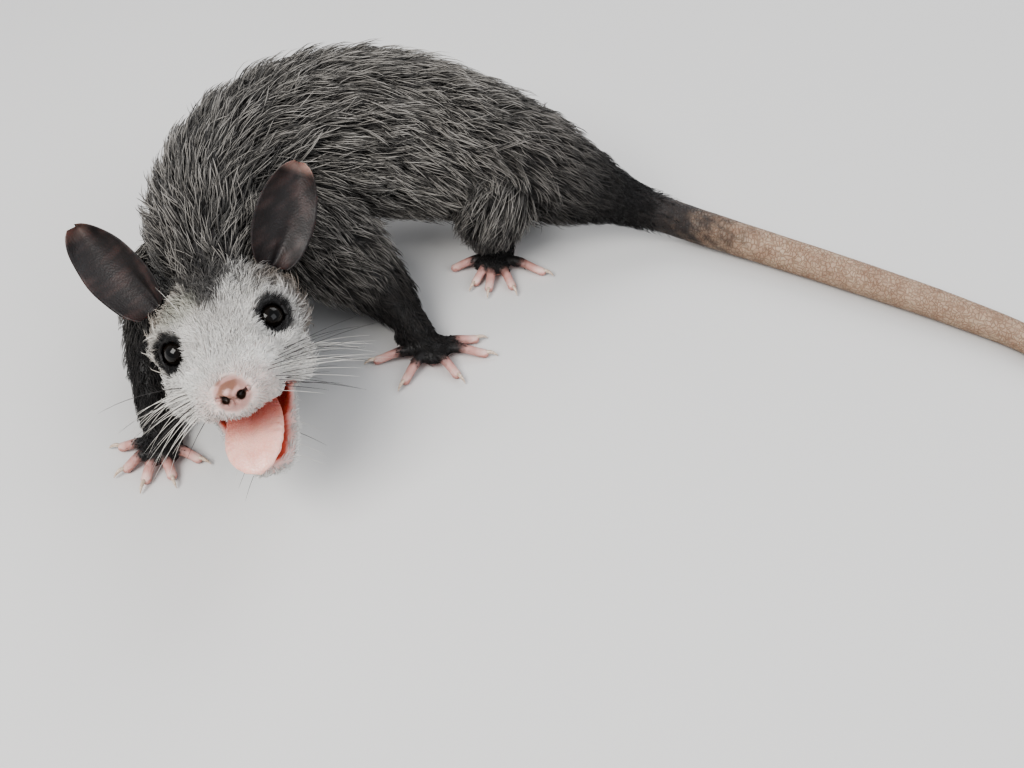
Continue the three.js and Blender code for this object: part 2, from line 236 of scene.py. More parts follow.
@dataclass
class Field:
    """Distances to the skin on a box of evenly spaced points, less than 0 inside."""

    low: Array
    high: Array
    voxel: float
    shape: tuple[int, ...] = ()
    value: Array = field(init=False)

    def __post_init__(self) -> None:
        """Starts with nothing in the box."""
        if not self.shape:
            self.shape = tuple(np.ceil((self.high - self.low) / self.voxel).astype(int) + 1)
        self.value = np.full(self.shape, FAR, np.float32)

    def span(self, low: Array, high: Array) -> tuple[slice, ...] | None:
        """The part of the box between two corners, or None where it misses the box."""
        first = np.maximum(np.floor((low - self.low) / self.voxel).astype(int), 0)
        last = np.minimum(np.ceil((high - self.low) / self.voxel).astype(int) + 1, self.shape)
        if np.any(first >= last):
            return None
        return tuple(slice(a, b) for a, b in zip(first, last))

    def points(self, part: tuple[slice, ...]) -> Array:
        """The layout points of a part of the box."""
        axes = [self.low[k] + self.voxel * np.arange(s.start, s.stop) for k, s in enumerate(part)]
        return np.stack(np.meshgrid(*axes, indexing="ij"), axis=-1).astype(np.float32)

    def distance(self, chain: Chain) -> tuple[tuple[slice, ...], Array] | None:
        """Distances to a chain in the part of the box that it reaches."""
        reach = chain.radii.max(axis=1, keepdims=True) + FAR
        part = self.span((chain.centres - reach).min(axis=0), (chain.centres + reach).max(axis=0))
        if part is None:
            return None
        low = self.low + self.voxel * np.array([s.start for s in part])
        shape = tuple(s.stop - s.start for s in part)
        near = Field(low, low + self.voxel * (np.array(shape) - 1), self.voxel, shape)
        for number, centre in enumerate(chain.centres):
            inner = near.span(centre - reach[number], centre + reach[number])
            if inner is not None:
                far = chain.one(number, near.points(inner))
                near.value[inner] = np.minimum(near.value[inner], far)
        return part, near.value

    def join(self, chain: Chain) -> None:
        """Adds a chain: the lesser distance, less k h (1 - h) where the two are within k."""
        found = self.distance(chain)
        if found is not None:
            part, new = found
            self.value[part] = soft_least(self.value[part], new, chain.softness)

    def carve(self, chain: Chain) -> None:
        """Takes a chain away, with its edge rounded in the same way."""
        found = self.distance(chain)
        if found is not None:
            part, new = found
            self.value[part] = -soft_least(-self.value[part], new, chain.softness)

    def carve_by(self, low: Array, high: Array, rule: Callable[[Array], Array], softness: float) -> None:
        """Takes away what a distance rule gives between two corners."""
        part = self.span(low, high)
        if part is not None:
            self.value[part] = -soft_least(-self.value[part], rule(self.points(part)), softness)

    def sample(self, points: Array) -> Array:
        """Distances at any points, by straight lines between the eight neighbours."""
        place = (points - self.low) / self.voxel
        base = np.clip(np.floor(place).astype(int), 0, np.array(self.shape) - 2)
        t = np.clip(place - base, 0, 1)
        total = np.zeros(len(points))
        for corner in np.ndindex(2, 2, 2):
            weight = np.prod(np.where(corner, t, 1 - t), axis=1)
            total += weight * self.value[tuple((base + corner).T)]
        return total

    def slope(self, points: Array, width: float) -> Array:
        """The direction in which the distance grows, by differences over a width."""
        rise = [self.sample(points + e) - self.sample(points - e) for e in np.eye(3) * width]
        return unit(np.stack(rise, axis=1))


def soft_least(first: Array, second: Array, softness: float) -> Array:
    """The lesser of two distances, rounded where they are closer than the softness."""
    share = np.clip(0.5 + 0.5 * (first - second) / softness, 0.0, 1.0)
    return first * (1 - share) + second * share - softness * share * (1 - share)


CORNERS = np.array(list(np.ndindex(2, 2, 2)))
EDGES = [(a, b) for a in range(8) for b in range(a + 1, 8) if np.abs(CORNERS[a] - CORNERS[b]).sum() == 1]


def surface(box: Field) -> tuple[Array, Array]:
    """The zero surface of a field as points and triangles.

    Each cell that the surface crosses gets the mean of its edges' crossings, and each crossed grid
    edge a four-sided face between the four cells round it, cut in two.

    Args:
        box: the field.

    Returns:
        Points, and triangles with their fronts outwards.
    """
    inside = box.value < 0
    cell_shape = tuple(n - 1 for n in inside.shape)
    count = np.zeros(cell_shape, np.int8)
    for i, j, k in CORNERS:
        count += inside[i : i + cell_shape[0], j : j + cell_shape[1], k : k + cell_shape[2]]
    active = (count > 0) & (count < 8)
    number = np.full(cell_shape, -1, np.int64)
    number[active] = np.arange(active.sum())
    cells = np.argwhere(active)
    corner_values = np.stack([box.value[tuple((cells + c).T)] for c in CORNERS], axis=1)
    total = np.zeros((len(cells), 3))
    hits = np.zeros(len(cells))
    for a, b in EDGES:
        first, second = corner_values[:, a], corner_values[:, b]
        cross = (first < 0) != (second < 0)
        share = np.where(cross, first / np.where(cross, first - second, 1), 0)
        place = CORNERS[a] + share[:, None] * (CORNERS[b] - CORNERS[a])
        total += place * cross[:, None]
        hits += cross
    points = box.low + box.voxel * (cells + total / hits[:, None])
    quads = []
    for axis in range(3):
        one, two = (axis + 1) % 3, (axis + 2) % 3
        here = np.moveaxis(inside, axis, 0)
        change = np.moveaxis(here[:-1] != here[1:], 0, axis)
        spot = np.argwhere(change)
        keep = (spot[:, one] > 0) & (spot[:, two] > 0)
        keep &= (spot[:, one] < cell_shape[one]) & (spot[:, two] < cell_shape[two])
        spot = spot[keep]
        shift_one, shift_two = np.eye(3, dtype=int)[one], np.eye(3, dtype=int)[two]
        ring = [spot - shift_one - shift_two, spot - shift_two, spot, spot - shift_one]
        quad = np.stack([number[tuple(r.T)] for r in ring], axis=1)
        starts_inside = inside[tuple(spot.T)]
        quads.append(np.where(starts_inside[:, None], quad, quad[:, ::-1]))
    faces = np.vstack(quads)
    return points, np.vstack([faces[:, [0, 1, 2]], faces[:, [0, 2, 3]]])


def refined(points: Array, triangles: Array, chosen: Array) -> tuple[Array, Array]:
    """Splits chosen triangles in four, and their neighbours so that no crack is left.

    Args:
        points: the mesh's points.
        triangles: its triangles.
        chosen: true for each triangle to split.

    Returns:
        The finer points and triangles.
    """
    pairs = np.sort(np.stack([triangles, np.roll(triangles, -1, axis=1)], axis=-1), axis=-1)
    keys = pairs[..., 0].astype(np.int64) * len(points) + pairs[..., 1]
    split = np.unique(keys[chosen])
    middle = 0.5 * (points[split // len(points)] + points[split % len(points)])
    at = np.searchsorted(split, keys).clip(0, len(split) - 1)
    hit = split[at] == keys
    new = np.where(hit, at + len(points), -1)
    kinds = hit.sum(axis=1)
    out = [triangles[kinds == 0]]
    for turn in range(3):
        t, m, h = (np.roll(x, -turn, axis=1) for x in (triangles, new, hit))
        single = (kinds == 1) & h[:, 0]
        a, b, c, ab = t[single, 0], t[single, 1], t[single, 2], m[single, 0]
        out += [np.stack([a, ab, c], axis=1), np.stack([ab, b, c], axis=1)]
        double = (kinds == 2) & h[:, 0] & h[:, 1]
        a, b, c = t[double].T
        ab, bc = m[double, 0], m[double, 1]
        out += [np.stack(x, axis=1) for x in ((ab, b, bc), (a, ab, bc), (a, bc, c))]
    full = kinds == 3
    a, b, c = triangles[full].T
    ab, bc, ca = new[full].T
    out += [np.stack(x, axis=1) for x in ((a, ab, ca), (ab, b, bc), (ca, bc, c), (ab, bc, ca))]
    return np.vstack([points, middle]), np.vstack(out)


# Sizes of the animal over its coat: rows of x, y, z, half width and half height, and the coat's depth
BODY_STATIONS = np.array(
    [
        (-122, 67, 38, 21, 19),
        (-133, 86, 44, 27, 26),
        (-140, 108, 49, 33, 33),
        (-136, 134, 52, 37, 38),
        (-117, 157, 53, 41, 41),
        (-90, 172, 50, 39, 39),
        (-61, 177, 44, 34.5, 34.5),
        (-34, 179, 37, 28, 28),
        (-12, 183, 28, 20, 20),
        (5, 187, 20, 13.5, 13),
        (22, 190, 13.5, 10, 10),
        (38, 190, 9.4, 8.8, 8.8),
        (70, 183, 7.4, 7.6, 7.6),
        (105, 173, 6.8, 7, 7),
        (148, 159, 6.1, 6.3, 6.3),
        (175, 147, 5.4, 5.6, 5.6),
        (196, 127, 4.7, 4.9, 4.9),
        (205, 101, 3.8, 4, 4),
        (198, 77, 2.8, 3, 3),
    ],
    float,
)
BODY_DEPTH = np.array([5, 7, 9, 10, 11, 10, 9, 8, 6, 3.8, 2.2, 1.2, 0.5, 0.3, 0.3, 0.3, 0.3, 0.3, 0.3])

HEAD_STATIONS = np.array(
    [
        (0, -38, -7, 14, 12),
        (0, -30, -5.5, 21, 19),
        (0, -19, -4.5, 27, 21),
        (0, -6, -5.2, 26.5, 19.5),
        (0, 6, -7, 23.5, 16),
        (-0.6, 16, -8.8, 20.5, 13),
        (-0.8, 26, -10.3, 16.5, 10.6),
        (-0.4, 36, -11, 13, 8.6),
        (0, 42, -10.8, 9.5, 6.8),
    ],
    float,
)
HEAD_DEPTH = np.array([4, 4.5, 4.5, 4, 3, 2, 1.3, 0.8, 0.5])
EAR_ROOT = np.array([23.0, -27.0, 11.0])
EAR_TIPS = {-1.0: np.array([-45.0, -32.0, 41.0]), 1.0: np.array([35.0, -36.0, 46.0])}
EYE_X = 15.0
EYE_FORWARD = 2.5
EYE_DROP = 2.0
EYE_RADIUS = 5.6
GAZE = unit(np.array([0.46, 0.84, 0.28]))
LIDS_OPEN = math.radians(42)
JAW_HINGE = np.array([0.0, -12.0, -14.0])
JAW_DROP = math.radians(34)
JAW_LENGTH = 50.0
JAW_SECTIONS = ((0, 19, 8.5), (0.25, 18, 8), (0.5, 15, 6), (0.78, 11.5, 5), (0.96, 7.5, 4))
JAW_DEPTH = np.array([4, 3, 1.6, 1, 0.6])


def eye_middle(handed: float) -> Array:
    """The middle of an eyeball in the head's own frame."""
    return np.array([handed * EYE_X, EYE_FORWARD, -EYE_DROP])


def eye_gaze(handed: float) -> Array:
    """The way that an eye looks, in the head's own frame."""
    return GAZE * (handed, 1, 1)


def eye_distance(local: Array) -> Array:
    """How far points are from the nearer eye's middle."""
    return np.minimum(*(np.linalg.norm(local - eye_middle(h), axis=1) for h in (-1.0, 1.0)))


def head_rows(rows: Array) -> Array:
    """Stations of the head's own frame as stations of the layout."""
    return np.hstack([HEAD.out(rows[:, :3]), rows[:, 3:]])


def jaw_point(share: Array | float, rise: Array | float = 0.0) -> Array:
    """A point along the lower jaw, and above its middle line, in the head's own frame."""
    ahead = np.asarray(share, float) * JAW_LENGTH
    y = JAW_HINGE[1] + ahead * math.cos(JAW_DROP) + rise * math.sin(JAW_DROP)
    z = JAW_HINGE[2] - ahead * math.sin(JAW_DROP) + rise * math.cos(JAW_DROP)
    return np.stack([np.zeros_like(y), y, z], axis=-1)


@dataclass(frozen=True)
class Leg:
    """One leg: the sections of its limb, and its palm and toes.

    Attributes:
        name: which leg.
        limb: rows of x, y, z, half width and half height.
        palm: x, y, heading in degrees, half length and half width.
        toes: where each toe's tip lies, from the middle of the palm.
        thumb: the toe that has no claw, or -1.
    """

    name: str
    limb: tuple[tuple[float, ...], ...]
    palm: tuple[float, ...]
    toes: tuple[tuple[float, float], ...]
    thumb: int = -1

    def limb_chain(self) -> Chain:
        """The limb's flesh, thinner than its fur."""
        rows = np.array(self.limb)
        depth = np.linspace(5.0, 1.2, len(rows))
        way = rows[1, :3] - rows[0, :3]
        level = unit(np.cross(np.cross(way, UP), way))
        return Chain.along("limb_" + self.name, rows, depth, level, softness=6.0)

    def toe_points(self, toe: tuple[float, float], share: Array) -> Array:
        """Points on the floor at shares of the way from the middle of the palm to a toe's tip."""
        return np.array([self.palm[0], self.palm[1], 0]) + share[:, None] * (*toe, 0)

    def palm_chain(self) -> Chain:
        """The palm and the back of the hand or foot."""
        x, y, heading, half_length, half_width = self.palm
        ahead = np.array([math.cos(math.radians(heading)), math.sin(math.radians(heading)), 0])
        places = np.array([-half_length - 1.5, -half_length * 0.3, half_length * 0.35 + 1.5])
        middle = np.array([x, y, 0]) + places[:, None] * ahead
        middle[:, 2] = (4.6, 4.1, 3.7)
        rows = np.hstack([middle, half_width * np.array([[0.58], [0.84], [0.9]]), [[4.5], [4.2], [3.8]]])
        return Chain.along("palm_" + self.name, rows, 0.3, softness=2.5, spacing=1.0)

    def toe_chains(self) -> list[Chain]:
        """The toes: bent fingers with a swollen pad at the tip."""
        chains = []
        width = np.array([2.4, 2.15, 1.9, 1.8, 1.85])[:, None]
        for number, toe in enumerate(self.toes):
            share = np.array([0.2, 0.45, 0.64, 0.82, 1 - 1.3 / math.hypot(*toe)])
            middle = self.toe_points(toe, share)
            middle[:, 2] = (4.0, 4.3, 3.7, 2.5, 1.75)
            rows = np.hstack([middle, width, width * 0.95])
            name = f"toe_{self.name}_{number}"
            chains.append(Chain.along(name, rows, 0.0, softness=1.0, spacing=0.6))
        return chains

    def claw_rows(self) -> list[Array]:
        """The middle line and half width of each claw, hooked down at the tip."""
        rows = []
        ahead = np.array([-0.9, 0.6, 2.0, 3.2, 4.1])
        half = np.array([0.55, 0.72, 0.58, 0.36, 0.1])[:, None]
        for number, toe in enumerate(self.toes):
            if number != self.thumb:
                middle = self.toe_points(toe, 1 + ahead / math.hypot(*toe))
                middle[:, 2] = (2.5, 2.75, 2.45, 1.7, 0.75)
                rows.append(np.hstack([middle, half, half * 1.15]))
        return rows


LEGS = (
    Leg(
        "front_left",
        (
            (-116, 118, 40, 25, 22),
            (-101, 116, 31, 22, 20),
            (-84, 113, 20, 15, 14),
            (-71, 106, 12, 9, 8.5),
            (-63, 100, 8.5, 7, 6.5),
        ),
        (-58, 97, -18, 9.5, 8.5),
        ((-20, -10), (-5, -19), (15, -11), (23, 3.5), (17, 11)),
    ),
    Leg(
        "front_right",
        (
            (-150, 108, 36, 19, 19),
            (-159, 88, 30, 15.5, 15.5),
            (-158, 68, 22, 12, 12),
            (-150, 48, 13, 8.5, 8.5),
            (-143, 36, 9, 7, 6.5),
        ),
        (-139, 28, -72, 9, 8.5),
        ((-16, -3), (-9, -12.5), (1, -16), (10, -12), (16, -2)),
    ),
    Leg(
        "hind_left",
        (
            (-44, 161, 36, 18.5, 19),
            (-48, 160, 27, 17.5, 17.5),
            (-50, 161, 18, 13, 12),
            (-49, 163, 11, 9.5, 9),
        ),
        (-46, 157, -90, 15, 8.5),
        ((-17, -9), (-5, -17), (2, -19.5), (12, -16), (23, -3)),
        0,
    ),
    Leg(
        "hind_right",
        (
            (-36, 199, 36, 16.5, 18),
            (-40, 203, 27, 16, 16.5),
            (-43, 206, 18, 12.5, 12),
            (-42, 208, 11, 9.5, 9),
        ),
        (-51, 211, 170, 15, 8.5),
        ((-11, -15), (-20, -7), (-22, 0), (-20, 7), (-13, 13)),
        0,
    ),
)


def put_mesh(name: str, points: Array, faces: Sequence[Array]) -> bpy.types.Object:
    """Makes a smooth-shaded mesh object from layout points and rows of face corners.

    Args:
        name: the piece's name.
        points: rows of x, y and z in millimetres on the layout.
        faces: arrays of face corners, each of its own number of corners.

    Returns:
        The object, linked to the scene.
    """
    mesh = bpy.data.meshes.new(name)
    faces = [f for f in faces if len(f)]
    corners = np.concatenate([f.ravel() for f in faces]).astype(np.int32)
    sizes = np.concatenate([np.full(len(f), f.shape[1]) for f in faces])
    mesh.vertices.add(len(points))
    mesh.vertices.foreach_set("co", ((points - ORIGIN) * MM).astype(np.float32).ravel())
    mesh.loops.add(len(corners))
    mesh.loops.foreach_set("vertex_index", corners)
    mesh.polygons.add(len(sizes))
    mesh.polygons.foreach_set("loop_start", np.concatenate([[0], np.cumsum(sizes)[:-1]]).astype(np.int32))
    mesh.polygons.foreach_set("use_smooth", np.full(len(sizes), True))
    mesh.update(calc_edges=True)
    piece = bpy.data.objects.new(name, mesh)
    bpy.context.scene.collection.objects.link(piece)
    return piece


def paint(piece: bpy.types.Object, name: str, colours: Array) -> None:
    """Stores a colour for each point of a piece."""
    layer = piece.data.color_attributes.new(name, "FLOAT_COLOR", "POINT")
    rgba = np.hstack([colours, np.ones((len(colours), 1))]).astype(np.float32)
    layer.data.foreach_set("color", rgba.ravel())


def ring_faces(rows: int, sides: int) -> tuple[Array, Array]:
    """The faces of a closed tube, whose two end points follow the points of its rings.

    Args:
        rows: rings along the tube.
        sides: points round a ring.

    Returns:
        Four-sided faces and end triangles.
    """
    row, side = np.meshgrid(np.arange(rows - 1), np.arange(sides), indexing="ij")
    near = (row * sides + side).ravel()
    near_next = (row * sides + (side + 1) % sides).ravel()
    quads = np.stack([near, near + sides, near_next + sides, near_next], axis=1)
    here = np.arange(sides)
    after = (here + 1) % sides
    base = (rows - 1) * sides
    start = np.stack([np.full(sides, rows * sides), here, after], axis=1)
    end = np.stack([np.full(sides, rows * sides + 1), base + after, base + here], axis=1)
    return quads, np.vstack([start, end])


def tube(rows: Array, sides: int, level: Array, round_share: float) -> tuple[Array, Array, Array]:
    """A closed tube through sections, with a point at each end.

    A section's point at angle a is the middle plus the half width times cos a across plus the half
    height times sin a above.

    Args:
        rows: x, y, z, half width and half height of each section.
        sides: points round a section.
        level: the direction that counts as above.
        round_share: how far the end points stand out, as a share of the end's half width.

    Returns:
        Points, four-sided faces and end triangles.
    """
    tangent = unit(np.gradient(rows[:, :3], axis=0))
    across = unit(np.cross(tangent, level))
    above = np.cross(across, tangent)
    angle = np.linspace(0, 2 * np.pi, sides, endpoint=False)
    ring = (
        rows[:, None, :3]
        + (rows[:, 3, None] * np.cos(angle))[..., None] * across[:, None]
        + (rows[:, 4, None] * np.sin(angle))[..., None] * above[:, None]
    ).reshape(-1, 3)
    start = rows[0, :3] - tangent[0] * rows[0, 3] * round_share
    end = rows[-1, :3] + tangent[-1] * rows[-1, 3] * round_share
    return np.vstack([ring, start, end]), *ring_faces(len(rows), sides)


def joined(parts: Sequence[tuple[Array, Array, Array]]) -> tuple[Array, Array, Array]:
    """Several tubes as one list of points, four-sided faces and triangles."""
    offsets = np.cumsum([0] + [len(p[0]) for p in parts[:-1]])
    points = np.vstack([p[0] for p in parts])
    quads = np.vstack([p[1] + o for p, o in zip(parts, offsets)])
    caps = np.vstack([p[2] + o for p, o in zip(parts, offsets)])
    return points, quads, caps


class Socket:
    """A shader socket that takes part in Python sums."""

    def __init__(self, tree: Shader, output: Any) -> None:
        """Keeps the output and the tree that it belongs to."""
        self.tree = tree
        self.output = output

    def _maths(self, operation: str, *others: Any) -> Socket:
        """One Math node on this and other values."""
        return self.tree.node("ShaderNodeMath", {"operation": operation}, others)

    def __add__(self, other: Any) -> Socket:
        """The sum."""
        return self._maths("ADD", self, other)

    __radd__ = __add__

    def __mul__(self, other: Any) -> Socket:
        """The product."""
        return self._maths("MULTIPLY", self, other)

    __rmul__ = __mul__

    def __sub__(self, other: Any) -> Socket:
        """The difference."""
        return self._maths("SUBTRACT", self, other)

    def __rsub__(self, other: Any) -> Socket:
        """The difference the other way round."""
        return self._maths("SUBTRACT", other, self)


class Shader:
    """A material's node tree, built from expressions."""

    def __init__(self, name: str) -> None:
        """Makes the material with an empty tree but for its output and surface shader."""
        self.material = bpy.data.materials.new(name)
        self.material.use_nodes = True
        self.tree = self.material.node_tree
        self.tree.nodes.clear()
        self.surface = self.tree.nodes.new("ShaderNodeBsdfPrincipled")
        end = self.tree.nodes.new("ShaderNodeOutputMaterial")
        self.tree.links.new(self.surface.outputs["BSDF"], end.inputs["Surface"])

    def node(self, kind: str, settings: dict[str, Any], inputs: Any = (), output: int | str = 0) -> Socket:
        """Adds a node.

        Args:
            kind: the node's type.
            settings: its properties.
            inputs: values or sockets, in order, or by name or number.
            output: which output to hand back.

        Returns:
            The output as a Socket.
        """
        made = self.tree.nodes.new(kind)
        for key, value in settings.items():
            setattr(made, key, value)
        pairs = inputs.items() if isinstance(inputs, dict) else enumerate(inputs)
        for key, value in pairs:
            self.feed(made.inputs[key], value)
        return Socket(self, made.outputs[output])

    def feed(self, target: Any, value: Any) -> None:
        """Links a socket, or sets a plain value."""
        if isinstance(value, Socket):
            self.tree.links.new(value.output, target)
        else:
            target.default_value = value

    def done(self, **values: Any) -> bpy.types.Material:
        """Feeds the surface shader's inputs by name, with _ for a space, and hands back the material."""
        for name, value in values.items():
            self.feed(self.surface.inputs[name.replace("_", " ")], value)
        return self.material

    def object_place(self) -> Socket:
        """The point on the piece, in metres."""
        return self.node("ShaderNodeTexCoord", {}, output="Object")

    def tint(self, name: str) -> Socket:
        """A colour stored on the piece's points."""
        return self.node("ShaderNodeVertexColor", {"layer_name": name}, output="Color")

    def noise(self, place: Socket, scale: float, detail: float = 3.0) -> Socket:
        """Cloudy noise from 0 to 1."""
        return self.node(
            "ShaderNodeTexNoise", {}, {"Vector": place, "Scale": scale, "Detail": detail}, "Fac"
        )

    def cells(self, place: Socket, scale: float, feature: str = "F1") -> Socket:
        """Distance to the nearest of many scattered points."""
        return self.node(
            "ShaderNodeTexVoronoi", {"feature": feature}, {"Vector": place, "Scale": scale}, "Distance"
        )

    def spread(self, value: Socket, low: float, high: float, to_low: float, to_high: float) -> Socket:
        """A value moved from one range to another, held at its ends."""
        return self.node("ShaderNodeMapRange", {}, (value, low, high, to_low, to_high))

    def mix(self, share: Any, first: Any, second: Any, how: str = "MIX") -> Socket:
        """Two colours mixed."""
        settings = {"data_type": "RGBA", "blend_type": how, "clamp_factor": True}
        pair = [c if isinstance(c, Socket) else (*c, 1.0) for c in (first, second)]
        return self.node("ShaderNodeMix", settings, {0: share, 6: pair[0], 7: pair[1]}, 2)

    def worn(self, pattern: Socket, low: float, high: float, most: float, share: Any) -> Socket:
        """The piece's tint, darker in parts of a pattern.

        Args:
            pattern: a value from 0 to 1.
            low: the pattern's value where the tint is plain.
            high: the pattern's value where it is darkest.
            most: how much of the darker colour shows there.
            share: the darker colour, as a share of the tint's red, green and blue.

        Returns:
            The colour.
        """
        tint = self.tint("tint")
        dark = self.mix(1.0, tint, share, "MULTIPLY")
        return self.mix(self.spread(pattern, low, high, 0.0, most), tint, dark)

    def bump(self, height: Socket, strength: float, distance: float) -> None:
        """Raises the surface by a height pattern."""
        normal = self.node(
            "ShaderNodeBump", {}, {"Strength": strength, "Distance": distance, "Height": height}, "Normal"
        )
        self.feed(self.surface.inputs["Normal"], normal)


@dataclass(frozen=True)
class CoatFinish:
    """Hair: its own colour with small changes from lock to lock."""

    name: str
    roughness: float = 0.55

    def material(self) -> bpy.types.Material:
        """The material, on the coat's stored tint."""
        shader = Shader(self.name)
        place = shader.object_place()
        patches = shader.noise(place, 60.0, 2.0)
        grain = shader.noise(place, 900.0, 2.0)
        return shader.done(
            Base_Color=shader.worn(patches, 0.7, 0.3, 1.0, (0.72, 0.71, 0.70)),
            Roughness=shader.spread(grain, 0.3, 0.7, self.roughness - 0.1, self.roughness + 0.12),
            Specular_IOR_Level=0.35,
            Sheen_Weight=0.12,
            Sheen_Roughness=0.4,
        )


@dataclass(frozen=True)
class SkinFinish:
    """Bare and furred skin: stored tint, pores and fine creases, scales on the tail."""

    name: str = "skin"

    def material(self) -> bpy.types.Material:
        """The material: the tint is mottled, and the bump is pores, creases and tail scales."""
        shader = Shader(self.name)
        place = shader.object_place()
        mottle = shader.noise(place, 180.0, 4.0)
        colour = shader.worn(mottle, 0.35, 0.65, 1.0, (0.80, 0.74, 0.72))
        kinds = shader.node("ShaderNodeSeparateColor", {}, (shader.tint("kind"),), "Red")
        scaly = shader.node("ShaderNodeAttribute", {"attribute_name": "scale_place"}, output="Vector")
        scale_cells = shader.cells(scaly, 1.0, "DISTANCE_TO_EDGE")
        seam = shader.spread(scale_cells, 0.0, 0.16, 0.0, 1.0)
        seam_colour = shader.mix(1.0, colour, (0.55, 0.47, 0.42), "MULTIPLY")
        on_tail = kinds * (1 - seam)
        colour = shader.mix(on_tail * 0.8, colour, seam_colour)
        pores = shader.cells(place, 1400.0)
        creases = shader.noise(place, 700.0, 5.0)
        height = kinds * seam * 0.9 + (1 - kinds) * (pores * 0.35 + creases * 0.5)
        shader.bump(height, 0.55, 0.0004)
        wet = shader.node("ShaderNodeSeparateColor", {}, (shader.tint("kind"),), "Green")
        return shader.done(
            Base_Color=colour,
            Roughness=shader.spread(mottle, 0.3, 0.7, 0.46, 0.62) - wet * 0.26,
            Specular_IOR_Level=0.45,
            Subsurface_Weight=0.08,
            Subsurface_Scale=0.002,
        )


@dataclass(frozen=True)
class EyeFinish:
    """A black, wet eye: a dark iris round a pupil under a clear coat."""

    name: str = "eye_black"

    def material(self) -> bpy.types.Material:
        """The material, on the stored tint of pupil, iris and edge."""
        shader = Shader(self.name)
        streaks = shader.noise(shader.object_place(), 1600.0, 4.0)
        share = shader.spread(streaks, 0.35, 0.65, 0.0, 0.5)
        return shader.done(
            Base_Color=shader.mix(share, shader.tint("tint"), (0.002, 0.002, 0.002)),
            Roughness=shader.spread(streaks, 0.2, 0.8, 0.03, 0.07),
            Coat_Weight=0.3,
            Coat_Roughness=0.02,
            Coat_IOR=1.33,
            Specular_IOR_Level=0.22,
        )


@dataclass(frozen=True)
class HornFinish:
    """Claws: pale horn with darker streaks."""

    name: str = "claw_horn"

    def material(self) -> bpy.types.Material:
        """The material, on the stored tint."""
        shader = Shader(self.name)
        streaks = shader.noise(shader.object_place(), 1500.0, 3.0)
        shader.bump(streaks, 0.25, 0.0001)
        return shader.done(
            Base_Color=shader.worn(streaks, 0.4, 0.6, 0.7, (0.6, 0.52, 0.45)),
            Roughness=shader.spread(streaks, 0.3, 0.7, 0.25, 0.42),
            Specular_IOR_Level=0.5,
        )


@dataclass(frozen=True)
class TongueFinish:
    """A wet pink tongue with fine bumps."""

    name: str = "tongue_wet"

    def material(self) -> bpy.types.Material:
        """The material: pink with paler and redder patches and small round bumps."""
        shader = Shader(self.name)
        place = shader.object_place()
        patches = shader.noise(place, 120.0, 3.0)
        bumps = shader.cells(place, 1500.0)
        colour = shader.worn(patches, 0.35, 0.7, 0.8, (0.86, 0.66, 0.62))
        shader.bump(bumps, 0.4, 0.0003)
        return shader.done(
            Base_Color=shader.mix(shader.spread(bumps, 0.1, 0.6, 0.35, 0.0), colour, (0.9, 0.7, 0.64)),
            Roughness=shader.spread(patches, 0.3, 0.7, 0.22, 0.38),
            Specular_IOR_Level=0.5,
            Subsurface_Weight=0.15,
            Subsurface_Scale=0.002,
        )


@dataclass(frozen=True)
class FloorFinish:
    """A plain pale studio floor."""

    name: str = "floor_pale"

    def material(self) -> bpy.types.Material:
        """The material: near white with the faintest cloudiness."""
        shader = Shader(self.name)
        clouds = shader.noise(shader.object_place(), 3.0, 2.0)
        return shader.done(
            Base_Color=shader.mix(clouds, (0.60, 0.595, 0.585), (0.64, 0.635, 0.625)),
            Roughness=shader.spread(clouds, 0.3, 0.7, 0.75, 0.85),
        )


class Region(Enum):
    """The kinds of length that a point of the skin can belong to."""

    BODY = 0
    HEAD = 1
    JAW = 2
    LIMB = 3
    PALM = 4
    TOE = 5


